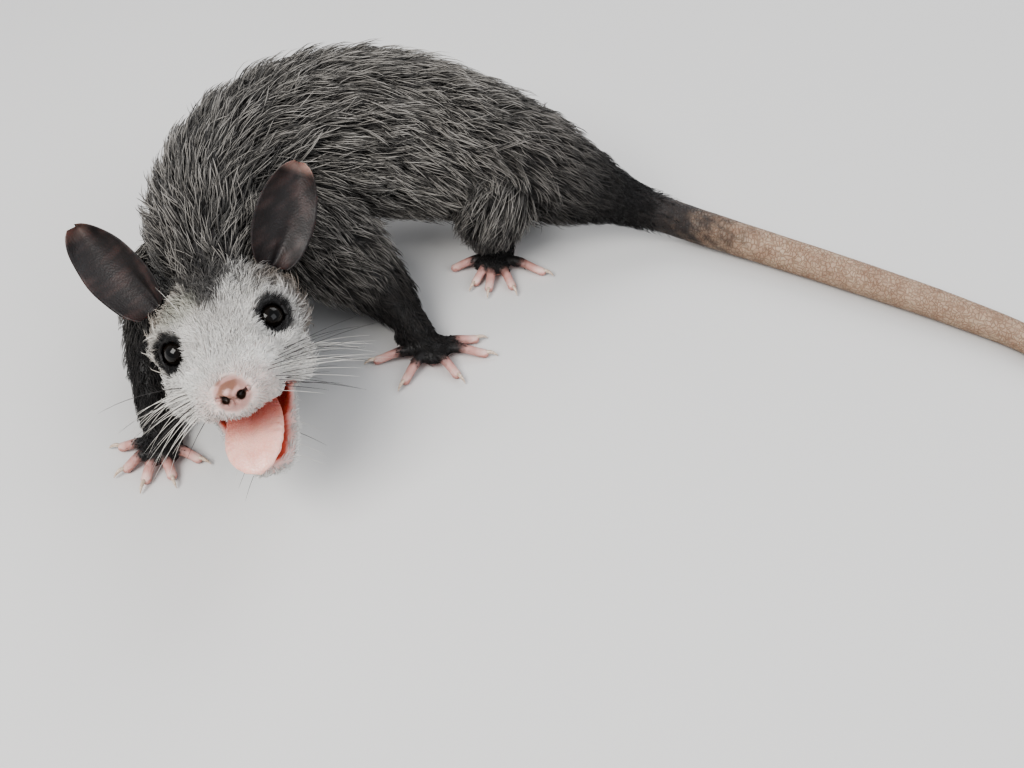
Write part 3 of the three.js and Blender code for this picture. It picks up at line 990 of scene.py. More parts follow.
@dataclass
class Anatomy:
    """All lengths of the body, and what each point of the skin belongs to.

    Attributes:
        chains: the lengths.
        regions: the kind of each length.
        chain_margin: how far from a length points are looked at, in millimetres.
        ball_margin: the same for one of its ellipsoids.
    """

    chains: list[Chain] = field(default_factory=list)
    regions: list[Region] = field(default_factory=list)
    chain_margin: float = 16.0
    ball_margin: float = 14.0

    def add(self, chain: Chain, region: Region) -> None:
        """Adds a length of one kind."""
        self.chains.append(chain)
        self.regions.append(region)

    @classmethod
    def made(cls) -> Anatomy:
        """The opossum's lengths: body, head, jaw, and each limb, palm and toe."""
        whole = cls()
        whole.add(Chain.along("body", BODY_STATIONS, BODY_DEPTH, spacing=1.8, softness=4.0), Region.BODY)
        skull = Chain.along(
            "head", head_rows(HEAD_STATIONS), HEAD_DEPTH, HEAD.axes[2], 1.0, 9.0, -1.0, 0.55
        )
        whole.add(skull, Region.HEAD)
        sections = np.array(JAW_SECTIONS)
        rows = head_rows(np.hstack([jaw_point(sections[:, 0]), sections[:, 1:]]))
        whole.add(Chain.along("jaw", rows, JAW_DEPTH, HEAD.axes[2], 1.0, 3.0, -1.0, 0.8), Region.JAW)
        for leg in LEGS:
            whole.add(leg.limb_chain(), Region.LIMB)
            whole.add(leg.palm_chain(), Region.PALM)
            for toe in leg.toe_chains():
                whole.add(toe, Region.TOE)
        return whole

    def place(self, points: Array) -> Places:
        """What each point belongs to: the chain and ellipsoid that it lies closest to."""
        best = np.full(len(points), 1e6)
        chain_of = np.zeros(len(points), int)
        ball_of = np.zeros(len(points), int)
        for number, chain in enumerate(self.chains):
            reach = chain.radii.max() + self.chain_margin
            low, high = chain.centres.min(axis=0) - reach, chain.centres.max(axis=0) + reach
            near = np.nonzero(np.all((points > low) & (points < high), axis=1))[0]
            for ball in range(len(chain.centres)):
                span = chain.radii[ball].max() + self.ball_margin
                close = near[np.all(np.abs(points[near] - chain.centres[ball]) < span, axis=1)]
                distance = chain.one(ball, points[close])
                better = distance < best[close]
                hit = close[better]
                best[hit] = distance[better]
                chain_of[hit] = number
                ball_of[hit] = ball
        return Places(self, points, chain_of, ball_of)


@dataclass
class Places:
    """Points of the skin with the chain and ellipsoid that each belongs to."""

    anatomy: Anatomy
    points: Array
    chain: Array
    ball: Array

    def gather(self, what: str) -> Array:
        """One value of each point's ellipsoid: centres, frames or share."""
        rows = np.concatenate([getattr(c, what) for c in self.anatomy.chains])
        starts = np.cumsum([0] + [len(c.centres) for c in self.anatomy.chains[:-1]])
        return rows[starts[self.chain] + self.ball]

    def among(self, *regions: Region) -> Array:
        """True for each point that belongs to one of some regions."""
        return np.array([r in regions for r in self.anatomy.regions])[self.chain]

    def lie(self) -> Array:
        """The way that hair lies at each point."""
        sign = np.array([c.lie for c in self.anatomy.chains])[self.chain]
        return self.gather("frames")[:, 1] * sign[:, None]

    def angle(self) -> Array:
        """The angle of each point round the path, from across towards above."""
        frames = self.gather("frames")
        out = self.points - self.gather("centres")
        return np.arctan2(dot(out, frames[:, 2]), dot(out, frames[:, 0]))

    def unwrap(self) -> Array:
        """A place for each point on an unwrap of the skin's own shape.

        Each chain has a rectangle of its own. The place along it is the share of the path, and the
        place across it is the angle round the path.
        """
        across = self.angle() / (2 * np.pi) + 0.5
        boxes = []
        small = 0
        for chain, region in zip(self.anatomy.chains, self.anatomy.regions):
            if region is Region.BODY:
                boxes.append((0.0, 0.0, 1.0, 0.45))
            elif region is Region.HEAD:
                boxes.append((0.0, 0.46, 0.45, 0.3))
            elif region is Region.JAW:
                boxes.append((0.46, 0.46, 0.2, 0.2))
            else:
                row, column = divmod(small, 10)
                boxes.append((0.1 * column, 0.77 + 0.075 * row, 0.09, 0.07))
                small += 1
        box = np.array(boxes)[self.chain]
        return np.stack(
            [box[:, 0] + box[:, 2] * self.gather("share"), box[:, 1] + box[:, 3] * across], axis=1
        )


@dataclass
class Look:
    """What the coat and the skin look like at each point.

    Attributes:
        skin: the skin's colour.
        root: the hair's colour at its root.
        tip: the hair's colour at its tip.
        length: the hair's length in millimetres.
        bare: 1 where no hair grows.
        wet: 1 on moist skin.
        scaly: 1 on the tail's scales.
        kept: 1 where face hair grows, and 0 where the coat does.
    """

    skin: Array
    root: Array
    tip: Array
    length: Array
    bare: Array
    wet: Array
    scaly: Array
    kept: Array


WHITE = srgb(242, 240, 236)
CREAM = srgb(222, 214, 200)
GREY = srgb(120, 116, 112)
DARK = srgb(42, 39, 38)
BLACK = srgb(16, 14, 14)
PINK = srgb(214, 160, 150)
PALE_PINK = srgb(226, 190, 180)
RED_PINK = srgb(190, 92, 76)
TAN = srgb(164, 142, 122)
TAIL_DARK = srgb(44, 38, 36)
# brown soil on the nose; a tenth of it is the painted shade in the nostrils
SOIL_AND_NOSTRIL_SHADE = srgb(112, 72, 46)
GUARD_TIP = srgb(176, 172, 166)
RUMP_TIP = srgb(126, 122, 118)
NAPE_TIP = srgb(170, 166, 160)
CROWN_TIP = srgb(172, 168, 162)
TEMPLE_TIP = srgb(158, 140, 122)
# painted light: hair tips tinted green by light off leaves
LEAF_GREEN_LIGHT_TIP = srgb(178, 184, 168)
LEG_TIP = srgb(60, 56, 54)
PAW_TIP = srgb(40, 36, 35)
TOE_TIP = srgb(48, 42, 40)
NOSE_SKIN = srgb(188, 150, 142)
TOE_SKIN = srgb(192, 148, 140)
TOE_END_SKIN = srgb(216, 186, 178)
EAR_SKIN = srgb(30, 25, 25)
EAR_FOLD_SKIN = srgb(62, 48, 46)
EAR_RIM_SKIN = srgb(186, 158, 148)
TONGUE_ROOT = srgb(205, 120, 108)
# the tongue's pink lightened towards white: painted sunlight on its tip
TONGUE_TIP_SUNLIT = srgb(240, 196, 182)
CLAW_HORN = srgb(205, 188, 172)
WHISKER_PALE = srgb(215, 212, 205)
WHISKER_DARK = srgb(34, 30, 29)
PUPIL = np.array([0.003, 0.003, 0.003])
IRIS = np.array([0.009, 0.006, 0.004])
EYE_EDGE = np.array([0.004, 0.003, 0.003])

# Where looks change along the body, from and to, as shares of the path from neck to tail tip
NAPE = (0.14, 0.02)
RUMP = (0.26, 0.42)
TAIL = (0.36, 0.47)
TAIL_SCALY = (0.455, 0.5)
TAIL_DARK_SKIN = (0.465, 0.52)
TAIL_BARE = (0.47, 0.53)
TAIL_TAN_SKIN = (0.52, 0.62)
TAIL_END = (0.9, 1.0)

# Where looks change on the head, from and to, in millimetres of its own frame
CROWN = (-16.0, -30.0)
DARK_ROOTS = (-2.0, -18.0)
PINK_MUZZLE = (30.0, 42.0)
PINK_HAIR_TIPS = (32.0, 44.0)
RING_REACH = 6.4
RING_TO_NOSE = 2.0  # how much further the ring reaches towards the nose

# Where looks change on the legs, from and to, as shares of a limb or toe
LIMB_DARK = (0.15, 0.7)
TOE_PINK = (0.34, 0.7)
TOE_BARE = (0.36, 0.6)
TOE_PALE = (0.7, 1.0)
SOLE_HEIGHT = 2.6  # up to here the paws' skin is that of the sole, in millimetres

# Hair lengths in millimetres
BODY_HAIR = 15.0
LIMB_HAIR = 12.0
PALM_HAIR = 2.6
TOE_HAIR = 1.5

# Spots of the face in the head's own frame
# middle of the painted green leaf light over the right brow
LEAF_LIGHT_SPOT = (11.0, -4.0, 8.0)
NOSE_SPOT = (0, 44.5, -9.3)
SOIL_SPOT = (0.8, 45.0, -6.2)
NOSTRIL_SPOT = np.array([2.5, 45.9, -9.9])
LASH_MARGIN = 1.25  # hair starts this far out of the eyeball
WET_MARGIN = 0.8  # the skin is wet this far out of the eyeball


def wobble(points: Array, size: float, seed: float) -> Array:
    """A smooth random-looking value from -1 to 1: a sum of sines along turned directions."""
    total = np.zeros(len(points))
    for k in range(5):
        turn_x = math.sin(seed + 2.1 * k)
        turn_y = math.cos(seed * 1.7 + 3.3 * k)
        turn_z = math.sin(seed * 0.6 + 1.3 * k + 1)
        way = np.array([turn_x, turn_y, turn_z])
        total += np.sin(points @ way * (2 * math.pi / size) * (1 + 0.37 * k) + seed * 5.1 * k)
    return np.clip(total / 3.0, -1, 1)


def body_look(places: Places, rough: Array, fine: Array) -> Look:
    """The look of body and tail: pale guard hair over dark wool, and bare scales.

    Places along the body are shares of its path from the neck to the tip of the tail.

    Args:
        places: the points.
        rough: unevenness in wide patches.
        fine: unevenness in small patches.

    Returns:
        The look at each point; head and legs are still to be put in.
    """
    share = places.gather("share")
    none = np.zeros(len(share))
    body = places.among(Region.BODY)
    nape = step(*NAPE, share) * body
    rump = step(*RUMP, share) * body
    tail = step(*TAIL, share) * body
    low = step(30.0, 12.0, places.points[:, 2]) * body
    tip = blend(GUARD_TIP, RUMP_TIP, np.clip(rump * 0.8 + low * 0.5, 0, 1))
    tip = blend(tip, BLACK * 1.6, tail)
    skin = blend(DARK * 0.5, TAIL_DARK, step(*TAIL_DARK_SKIN, share + 0.012 * rough) * body)
    skin = blend(skin, TAN, step(*TAIL_TAN_SKIN, share + 0.02 * rough) * body)
    return Look(
        skin=blend(skin, PALE_PINK * 0.8, step(*TAIL_END, share) * body * 0.6),
        root=blend(DARK * 0.55, BLACK, tail),
        tip=blend(tip, NAPE_TIP, nape),
        length=BODY_HAIR - 3.0 * rump - 7.5 * tail - 4.0 * nape,
        bare=step(*TAIL_BARE, share + 0.02 * fine) * body,
        wet=none,
        scaly=step(*TAIL_SCALY, share) * body,
        kept=none,
    )


def eye_ring(local: Array, fine: Array) -> Array:
    """How far points belong to the black ring round an eye, drawn out towards the nose."""
    ring = np.zeros(len(local))
    for handed in (-1.0, 1.0):
        gaze = eye_gaze(handed)
        out = local - eye_middle(handed)
        along = out @ gaze
        off = np.linalg.norm(out - along[:, None] * gaze, axis=1)
        inner = np.array([-handed * 0.62, 0.5, -0.6])
        reach = RING_REACH + RING_TO_NOSE * np.clip(unit(out) @ unit(inner), 0, 1)
        edge = step(reach + 1.6, reach - 0.6, off + 0.5 * fine)
        ring = np.maximum(ring, edge * (along > -1) * (along < 12))
    return ring


def face_hair(local: Array, crown: Array, fine: Array) -> tuple[Array, Array]:
    """The face hair's colours: white, a dark wedge up the forehead, tan temples and painted green leaf
    light.

    Args:
        local: points in the head's own frame.
        crown: how far each point belongs to the crown.
        fine: unevenness in small patches.

    Returns:
        The colours at the tip and at the root, without the rings round the eyes.
    """
    x, y, z = local.T
    tip = blend(WHITE, CREAM, step(-4.0, 8.0, x) * step(14.0, -8.0, y) * 0.7)
    root = tip * 0.72
    half = 1.9 + 7.0 * step(6.0, -30.0, y)
    wedge = step(half + 2.2, half - 0.8, np.abs(x - 1.0) + 0.8 * fine) * step(9.0, 0.0, y) * (z > -4)
    tip = blend(tip, GREY * 0.55, np.clip(wedge * 0.9, 0, 1))
    root = blend(root, DARK * 0.6, np.clip(wedge, 0, 1))
    tip = blend(tip, CROWN_TIP, crown)
    root = blend(root, DARK, step(*DARK_ROOTS, y + 2.0 * fine))
    temple = step(9.0, 20.0, np.abs(x)) * step(0.0, -16.0, y)
    tip = blend(tip, TEMPLE_TIP, temple * np.where(x < 0, 0.85, 0.5))
    root = blend(root, DARK * 1.2, temple * 0.8)
    # Painted light: the green cast of light off leaves on the hair over the right brow
    brow = step(9.0, 5.0, np.linalg.norm((local - LEAF_LIGHT_SPOT) * (1, 0.7, 1), axis=1))
    return blend(tip, LEAF_GREEN_LIGHT_TIP, brow * 0.6), root


def face_length(local: Array, ring: Array, jaw: Array) -> Array:
    """The face hair's length: longest on cheeks and crown, short on muzzle, jaw and lids.

    Args:
        local: points in the head's own frame.
        ring: how far each point belongs to the ring round an eye.
        jaw: true on the lower jaw.

    Returns:
        Lengths in millimetres.
    """
    side, y, z = np.abs(local[:, 0]), local[:, 1], local[:, 2]
    length = 4.2 + 5.0 * step(6.0, -26.0, y) + 3.5 * step(12.0, 22.0, side) * step(24, 0, y)
    ruff = step(11.0, 18.0, side) * step(22.0, 6.0, y) * step(-4.0, -12.0, z)
    length = (length + 3.0 * ruff) * (1 - 0.5 * step(14.0, 40.0, y)) * (1 - 0.6 * ring)
    return np.where(jaw, 2.6 + 3.0 * step(16.0, -6.0, y), length)


def add_face(places: Places, look: Look, rough: Array, fine: Array) -> None:
    """Puts the look of head and lower jaw in.

    Args:
        places: the points.
        look: the look that is changed.
        rough: unevenness in wide patches.
        fine: unevenness in small patches.
    """
    jaw = places.among(Region.JAW)
    head = places.among(Region.HEAD, Region.JAW)
    face = head.astype(float)
    local = HEAD.into(places.points)
    y = local[:, 1]
    crown = step(*CROWN, y + 2.5 * rough)
    ring = eye_ring(local, fine)
    mouth = mouth_share(local)
    near_eye = eye_distance(local)
    nose = step(6.2, 4.6, np.linalg.norm((local - NOSE_SPOT) * (1, 0.8, 1), axis=1))
    soiled = step(6.0, 2.5, np.linalg.norm(local - SOIL_SPOT, axis=1))
    holes = [(local - NOSTRIL_SPOT * (h, 1, 1)) * (1, 0.5, 0.9) for h in (-1.0, 1.0)]
    hole = np.minimum(*(np.linalg.norm(h, axis=1) for h in holes))

    tip, root = face_hair(local, crown, fine)
    tip = blend(tip, BLACK, ring)
    root = blend(root, BLACK, ring)

    # Skin: pale under the hair, bare and rosy on the nose, painted shade in the nostrils, red in the mouth
    skin = blend(WHITE * 0.8, PALE_PINK, step(*PINK_MUZZLE, y))
    skin = blend(skin, tip * 0.7, 0.6 * face)
    skin = blend(skin, BLACK, ring)
    skin = blend(skin, NOSE_SKIN, nose)
    skin = blend(skin, SOIL_AND_NOSTRIL_SHADE, soiled * step(-0.5, 0.3, wobble(places.points, 7.0, 2.2)) * 0.75)
    # Painted shade: the nostril holes darkened to near black
    skin = blend(skin, SOIL_AND_NOSTRIL_SHADE * 0.12, step(1.75, 1.2, hole))
    skin = blend(skin, RED_PINK, step(0.35, 0.9, mouth))
    skin = blend(skin, PINK, step(0.02, 0.3, mouth) * step(0.9, 0.4, mouth))
    skin = blend(skin, PINK, 0.55 * (jaw & (mouth < 0.3)))
    tip = blend(tip, PALE_PINK, step(*PINK_HAIR_TIPS, y + 1.5 * rough) * 0.4)

    look.skin = blend(look.skin, skin, face)
    look.root = blend(look.root, root, face)
    look.tip = blend(look.tip, tip, face)
    look.length = np.where(head, face_length(local, ring, jaw), look.length)
    bare = np.maximum(np.maximum(nose, step(0.05, 0.25, mouth)), near_eye < EYE_RADIUS + LASH_MARGIN)
    look.bare = np.where(head, bare, look.bare)
    wet = step(0.2, 0.6, mouth) + 0.7 * nose + (near_eye < EYE_RADIUS + WET_MARGIN)
    look.wet = np.where(head, np.clip(wet, 0, 1), look.wet)
    look.kept = face * (1 - crown)


def add_legs(places: Places, look: Look, fine: Array) -> None:
    """Puts the look of the legs in: black, with toes that are pink from the middle joint on.

    Args:
        places: the points.
        look: the look that is changed.
        fine: unevenness in small patches.
    """
    share = places.gather("share")
    height = places.points[:, 2]
    limb, palm, toe = (places.among(r) for r in (Region.LIMB, Region.PALM, Region.TOE))
    sole = (height < SOLE_HEIGHT) & (palm | toe)
    dark = limb * step(*LIMB_DARK, share)
    pink = step(*TOE_PINK, share + 0.06 * fine) * toe

    tip = blend(look.tip, LEG_TIP, dark)
    tip = np.where((limb & (dark < 0.5))[:, None], tip * 0.9, tip)
    tip = np.where(palm[:, None], PAW_TIP, tip)
    look.tip = np.where(toe[:, None], TOE_TIP, tip)
    look.root = np.where((palm | toe)[:, None], BLACK, blend(look.root, BLACK, dark))

    skin = blend(look.skin, BLACK, limb.astype(float))
    skin = np.where(palm[:, None], BLACK * 1.4, skin)
    toe_colour = blend(TOE_SKIN, TOE_END_SKIN, step(*TOE_PALE, share))
    toe_skin = blend(BLACK * 1.5, toe_colour, pink)
    skin = np.where(toe[:, None], toe_skin, skin)
    look.skin = np.where(sole[:, None], PINK * 0.8, skin)

    length = np.where(limb, LIMB_HAIR - 8.5 * share, look.length)
    look.length = np.where(toe, TOE_HAIR, np.where(palm, PALM_HAIR, length))
    bare = np.where(toe, step(*TOE_BARE, share), look.bare)
    look.bare = np.where(sole | (height < 1.2), 1.0, bare)


def markings(places: Places) -> Look:
    """The coat's and the skin's look, worked out from where a point lies on the body.

    Args:
        places: the points.

    Returns:
        The look at each point.
    """
    rough = wobble(places.points, 9.0, 1.3)
    fine = wobble(places.points, 4.0, 4.1)
    look = body_look(places, rough, fine)
    add_face(places, look, rough, fine)
    add_legs(places, look, fine)
    return look


def mouth_chains() -> list[Chain]:
    """The hollow of the open mouth: under the palate and in the floor of the lower jaw."""
    palate = np.array(
        [
            (0, 2, -21.5, 12, 3.0),
            (0, 10, -21.5, 15, 3.6),
            (-0.6, 20, -21.2, 14, 3.8),
            (-0.6, 30, -20.3, 11.5, 3.8),
            (-0.2, 38, -18.6, 8.2, 3.2),
        ]
    )
    share = np.array([0.2, 0.38, 0.6, 0.8, 0.93])
    rise = np.array([8.0, 7.0, 5.4, 4.6, 3.8])
    trough = np.hstack([jaw_point(share, rise), [[12, 3.4], [13, 3.4], [11, 3.2], [8.2, 2.8], [5.0, 2.2]]])
    gape = np.array([(0, 0, -23.5, 8, 2.2), (0, 8, -25, 11.5, 3.6), (0, 16, -26, 12.0, 5.5)])
    level = HEAD.axes[2]
    return [
        Chain.along("palate", head_rows(palate), 0.0, level, 0.8, 1.2),
        Chain.along("floor", head_rows(trough), 0.0, level, 0.8, 1.2),
        Chain.along("gape", head_rows(gape), 0.0, level, 0.8, 1.2),
    ]


MOUTH = mouth_chains()


def mouth_share(local: Array) -> Array:
    """How far a point belongs to the inside of the mouth: 1 on its wall, 0 from 2 mm away."""
    points = HEAD.out(local)
    near = np.nonzero((np.abs(local[:, 0]) < 18) & (local[:, 1] > -8) & (local[:, 2] < -8))[0]
    best = np.full(len(local), 9.0)
    for chain in MOUTH:
        for ball in range(len(chain.centres)):
            best[near] = np.minimum(best[near], chain.one(ball, points[near]))
    return step(2.0, 0.2, best)


@dataclass
class Skin:
    """The one skin that stands for all nodes of flesh.

    Attributes:
        anatomy: the lengths of the body.
        voxel: the grid's spacing for the whole animal.
        fine_voxel: the grid's spacing round the face and each paw.
        low: the lowest corner of the whole animal's grid.
        high: its highest corner.
        ear_height: from an ear's root to its tip.
        ear_width: across an ear.
        ear_half_thickness: half the thickness of an ear's leaf.
        most_move: how far a point is moved onto the fine surface at a time.
        least_height: the least height over the floor.
        scale_length: the length of one scale of the tail.
        tail_radius: the tail's half width that its scales are laid out on.
        path_length: the length of the path from the neck to the tip of the tail.
        whole: the whole animal's field.
        points: the skin's points.
        triangles: the skin's triangles.
        places: what each point belongs to.
        look: the look at each point.
    """

    anatomy: Anatomy
    voxel: float = 1.6
    fine_voxel: float = 0.5
    low: tuple[float, float, float] = (-186.0, -8.0, -3.0)
    high: tuple[float, float, float] = (214.0, 238.0, 98.0)
    ear_height: float = 38.0
    ear_width: float = 23.0
    ear_half_thickness: float = 0.6
    most_move: float = 0.8
    least_height: float = 0.02
    scale_length: float = 1.5
    tail_radius: float = 3.4
    path_length: float = 560.0
    whole: Field = field(init=False)
    points: Array = field(init=False)
    triangles: Array = field(init=False)
    places: Places = field(init=False)
    look: Look = field(init=False)

    def fill(self, box: Field) -> Field:
        """Works out the field in a box: the lengths, then lids, nose and mouth."""
        for chain in self.anatomy.chains:
            box.join(chain)
        for handed in (-1.0, 1.0):
            lid = EYE_RADIUS + 1.0
            box.join(ellipsoid("lid", eye_middle(handed), (lid, lid, lid), 3.5))
            brow = eye_middle(handed) + (-1.5 * handed, -2.0, 4.8)
            box.join(ellipsoid("brow", brow, (6.5, 6.0, 2.6), 4.0))
            cheek = (handed * 14.0, 9.0, -15.5)
            box.join(ellipsoid("cheek", cheek, (7.5, 13.0, 8.0), 5.0))
            pad = (handed * 7.6, 31.5, -13.6)
            box.join(ellipsoid("whisker_pad", pad, (5.4, 9.5, 5.0), 3.0))
        box.join(ellipsoid("nose", (0, 43.6, -9.3), (5.0, 3.9, 4.1), 1.6))
        for chain in MOUTH:
            box.carve(chain)
        for handed in (-1.0, 1.0):
            self.open_eye(box, handed)
            box.carve(ellipsoid("nostril", (handed * 2.5, 46.9, -9.9), (1.35, 2.8, 1.5), 0.6))
            box.carve(ellipsoid("nostril_slit", (handed * 4.3, 44.9, -9.2), (1.6, 1.5, 0.6), 0.5))
        box.carve(ellipsoid("philtrum", (0, 46.8, -12.6), (0.4, 1.6, 3.2), 0.6))
        return box

    def open_eye(self, box: Field, handed: float) -> None:
        """Cuts the room of the eyeball and the opening between its lids.

        The opening is a cone round the gaze, wider along the lids than across them.
        """
        eye = HEAD.out(eye_middle(handed))
        gaze = eye_gaze(handed) @ HEAD.axes
        level = unit(np.cross(gaze, HEAD.axes[2]))
        over = np.cross(level, gaze)

        def opening(points: Array) -> Array:
            """The distance to the cone, or to the eyeball's room."""
            out = points - eye
            ahead = out @ gaze
            wide = np.hypot((out @ level) / 1.08, (out @ over) / 0.92)
            angle = np.arctan2(wide, ahead)
            far = np.linalg.norm(out, axis=-1)
            cone = far * np.sin(np.clip(angle - LIDS_OPEN, -1.5, 1.5))
            return np.minimum(np.maximum(cone, -(far - 1.0)), far - EYE_RADIUS - 0.1)

        box.carve_by(eye - 16, eye + 16, opening, 0.45)

    def fine_corners(self) -> list[tuple[Array, Array]]:
        """The lowest and highest corners of the fine grids, round the face and each paw."""
        face = HEAD.out(np.array([(a, b, c) for a in (-30, 30) for b in (-40, 50) for c in (-48, 22)]))
        palms = [np.array([leg.palm[0], leg.palm[1], 4.0]) for leg in LEGS]
        paws = [(palm - (30, 30, 7), palm + (30, 30, 14)) for palm in palms]
        return [(face.min(axis=0), face.max(axis=0)), *paws]

    def build(self) -> None:
        """Works out the skin's points and triangles, finest on the face.

        The coarse surface is split where it has to be fine, and its points are then moved onto the
        zero surface of the fine fields.
        """
        self.whole = self.fill(Field(np.array(self.low), np.array(self.high), self.voxel))
        points, triangles = surface(self.whole)
        boxes = [self.fill(Field(low, high, self.fine_voxel)) for low, high in self.fine_corners()]
        small = self.anatomy.place(points).among(Region.HEAD, Region.JAW, Region.PALM, Region.TOE)
        points, triangles = refined(points, triangles, small[triangles].any(axis=1))
        local = HEAD.into(points)
        muzzle = np.all(np.abs(local - (0, 39, -25)) < (16, 13, 24), axis=1)
        small = (eye_distance(local) < 11) | muzzle
        points, triangles = refined(points, triangles, small[triangles].all(axis=1))
        for box in boxes:
            within = np.all((points > box.low + 1.5) & (points < box.high - 1.5), axis=1)
            for _ in range(3):
                part = points[within]
                move = np.clip(box.sample(part), -self.most_move, self.most_move)
                points[within] = part - move[:, None] * box.slope(part, 0.4)
        points[:, 2] = np.maximum(points[:, 2], self.least_height)
        self.points, self.triangles = points, triangles

    def ear(self, handed: float, tip: Array) -> tuple[Array, Array, Array, Array]:
        """A thin cupped leaf of an ear.

        Up the ear the half width follows a rounded outline. Across it the leaf curls forward as the
        square of the distance from its middle, with soft folds near the root.

        Args:
            handed: 1 for the animal's right ear and -1 for its left.
            tip: where the ear's tip points, in the head's own frame.

        Returns:
            Points, four-sided faces, end triangles and each point's share up the ear.
        """
        root = EAR_ROOT * (handed, 1, 1)
        rise = unit(tip - root)
        across = unit(np.cross(rise, (handed * 0.25, 1.0, 0.1)))
        facing = np.cross(across, rise)
        up = np.linspace(0, 1, 34)
        share = np.linspace(-1, 1, 25)
        outline = np.sqrt(np.clip(1 - ((up - 0.5) / 0.52) ** 2, 0, 1))
        width = 0.3 * (1 - up) ** 0.5 + 0.7 * outline + 0.06 * np.sin(up * np.pi)
        half = np.maximum(self.ear_width / 2 * width - 0.4, 0.5)
        wave = 0.5 * np.sin(up * 16)[:, None] * np.abs(share[None]) ** 3
        curl = 5.2 * share[None] ** 2 - 2.5 * (1 - up)[:, None] + 0.5 * wave
        fold = -1.6 * np.exp(-(((share[None] - 0.25) / 0.18) ** 2)) * (1 - step(0.1, 0.6, up))[:, None]
        thick = self.ear_half_thickness * (1 - 0.55 * np.abs(share[None]) ** 4) * np.ones((len(up), 1))
        thick[0] *= 1.2
        layers = []
        for sign in (-1.0, 1.0):
            place = (
                root
                + ((up - 0.08) * self.ear_height)[:, None, None] * rise
                + (half[:, None] * share[None])[..., None] * across
                + (curl + fold + sign * thick)[..., None] * facing
            )
            layers.append(place)
        rings = np.concatenate([layers[0], layers[1][:, ::-1]], axis=1)
        points = np.vstack([rings.reshape(-1, 3), rings[0].mean(axis=0), rings[-1].mean(axis=0)])
        quads, caps = ring_faces(*rings.shape[:2])
        height = np.concatenate([np.repeat(up, rings.shape[1]), [0, 1]])
        return HEAD.out(points), quads, caps, height

    def dress(self) -> bpy.types.Object:
        """Makes the skin's object with its tints, and joins the ears to it."""
        self.places = self.anatomy.place(self.points)
        self.look = look = markings(self.places)
        points, quads, caps = [self.points], [], [self.triangles]
        tint, kind = [look.skin], [np.stack([look.scaly, look.wet, look.bare], axis=1)]
        start = len(self.points)
        for handed, tip in EAR_TIPS.items():
            ear_points, ear_quads, ear_caps, height = self.ear(handed, tip)
            points.append(ear_points)
            quads.append(ear_quads + start)
            caps.append(ear_caps + start)
            start += len(ear_points)
            rim = step(0.88, 1.0, height)
            folds = 0.6 * wobble(ear_points, 11.0, 3.7 + handed)
            leaf = blend(EAR_SKIN, EAR_FOLD_SKIN, step(-0.2, 0.8, folds))
            tint.append(blend(leaf, EAR_RIM_SKIN, rim * (1.0 if handed < 0 else 0.35)))
            kind.append(np.zeros((len(height), 3)))
        every = np.vstack(points)
        piece = put_mesh("skin", every, [np.vstack(caps), np.vstack(quads)])
        paint(piece, "tint", np.vstack(tint))
        paint(piece, "kind", np.vstack(kind))
        self.place_scales(piece, len(every))
        piece.data.materials.append(SkinFinish().material())
        return piece

    def place_scales(self, piece: bpy.types.Object, count: int) -> None:
        """Stores where each point lies on the tail: along it and round it, in scales."""
        angle = self.places.angle()
        rings = np.zeros((count, 3), np.float32)
        rings[: len(angle), 0] = self.places.gather("share") * self.path_length / self.scale_length
        rings[: len(angle), 1] = np.cos(angle) * self.tail_radius
        rings[: len(angle), 2] = np.sin(angle) * self.tail_radius
        layer = piece.data.attributes.new("scale_place", "FLOAT_VECTOR", "POINT")
        layer.data.foreach_set("vector", rings.ravel())


@dataclass(frozen=True)
class HairKind:
    """One kind of hair and where it grows.

    Attributes:
        on_face: whether it grows on the face or on all the rest.
        per_mm2: locks to the square millimetre.
        long: length as a share of the coat's own.
        wide: a lock's width in millimetres.
        lift: the angle at the root, in radians.
        clump: how far tips are drawn together, from 0 to 1.
        clump_size: the space between clumps in millimetres.
        rings: sections of a lock, with its tip.
        tip_share: the tip's brightness as a share of the coat's own.
        tip_strength: how much of the tip's colour shows over the root's.
        dark_share: the share of locks that are dark to the tip.
    """

    on_face: bool
    per_mm2: float
    long: float
    wide: float
    lift: float
    clump: float
    clump_size: float
    rings: int
    tip_share: float
    tip_strength: float
    dark_share: float

    def density(self, kept: Array, length: Array) -> Array:
        """Locks to the square millimetre: more where the hair is short."""
        where = kept > 0.35 if self.on_face else kept <= 0.35
        short = np.clip(9.0 / np.maximum(length, 1.0), 0.8, 2.2)
        return np.where(where, self.per_mm2 * (1.0 if self.on_face else short), 0.0)

    def sizes(self, look: Look, rng: np.random.Generator) -> tuple[Array, Array]:
        """Each lock's length and width."""
        count = len(look.length)
        length = look.length * self.long * np.clip(rng.normal(1, 0.18, count), 0.5, 1.5)
        uneven = np.clip(rng.normal(1, 0.2, count), 0.5, 1.6)
        return length, self.wide * uneven * np.clip(look.length / 12.0, 0.55, 1.1)

    def tips(self, look: Look, local: Array, rng: np.random.Generator) -> Array:
        """Each lock's colour at its tip.

        Args:
            look: the look at each root.
            local: the roots in the head's own frame.
            rng: the random draws.

        Returns:
            Colours, with some dark locks in the coat and dark hairs strewn over the forehead.
        """
        count = len(local)
        dimmed = np.where(rng.random(count) < self.dark_share, 0.3, 1.0)
        tip = look.tip * (dimmed * self.tip_share + rng.normal(0, 0.08, count))[:, None]
        tip = blend(look.root, np.clip(tip, 0.004, 0.9), self.tip_strength)
        forehead = step(2.0, -14.0, local[:, 1]) * step(14.0, 4.0, np.abs(local[:, 0] - 2.0))
        strewn = (0.12 + 0.4 * forehead) * step(12.0, 2.0, local[:, 1])
        dark_hair = rng.random(count) < strewn
        face_tip = np.where(dark_hair[:, None], look.tip * 0.28, look.tip)
        return np.where(look.kept[:, None] > 0.5, face_tip, tip)


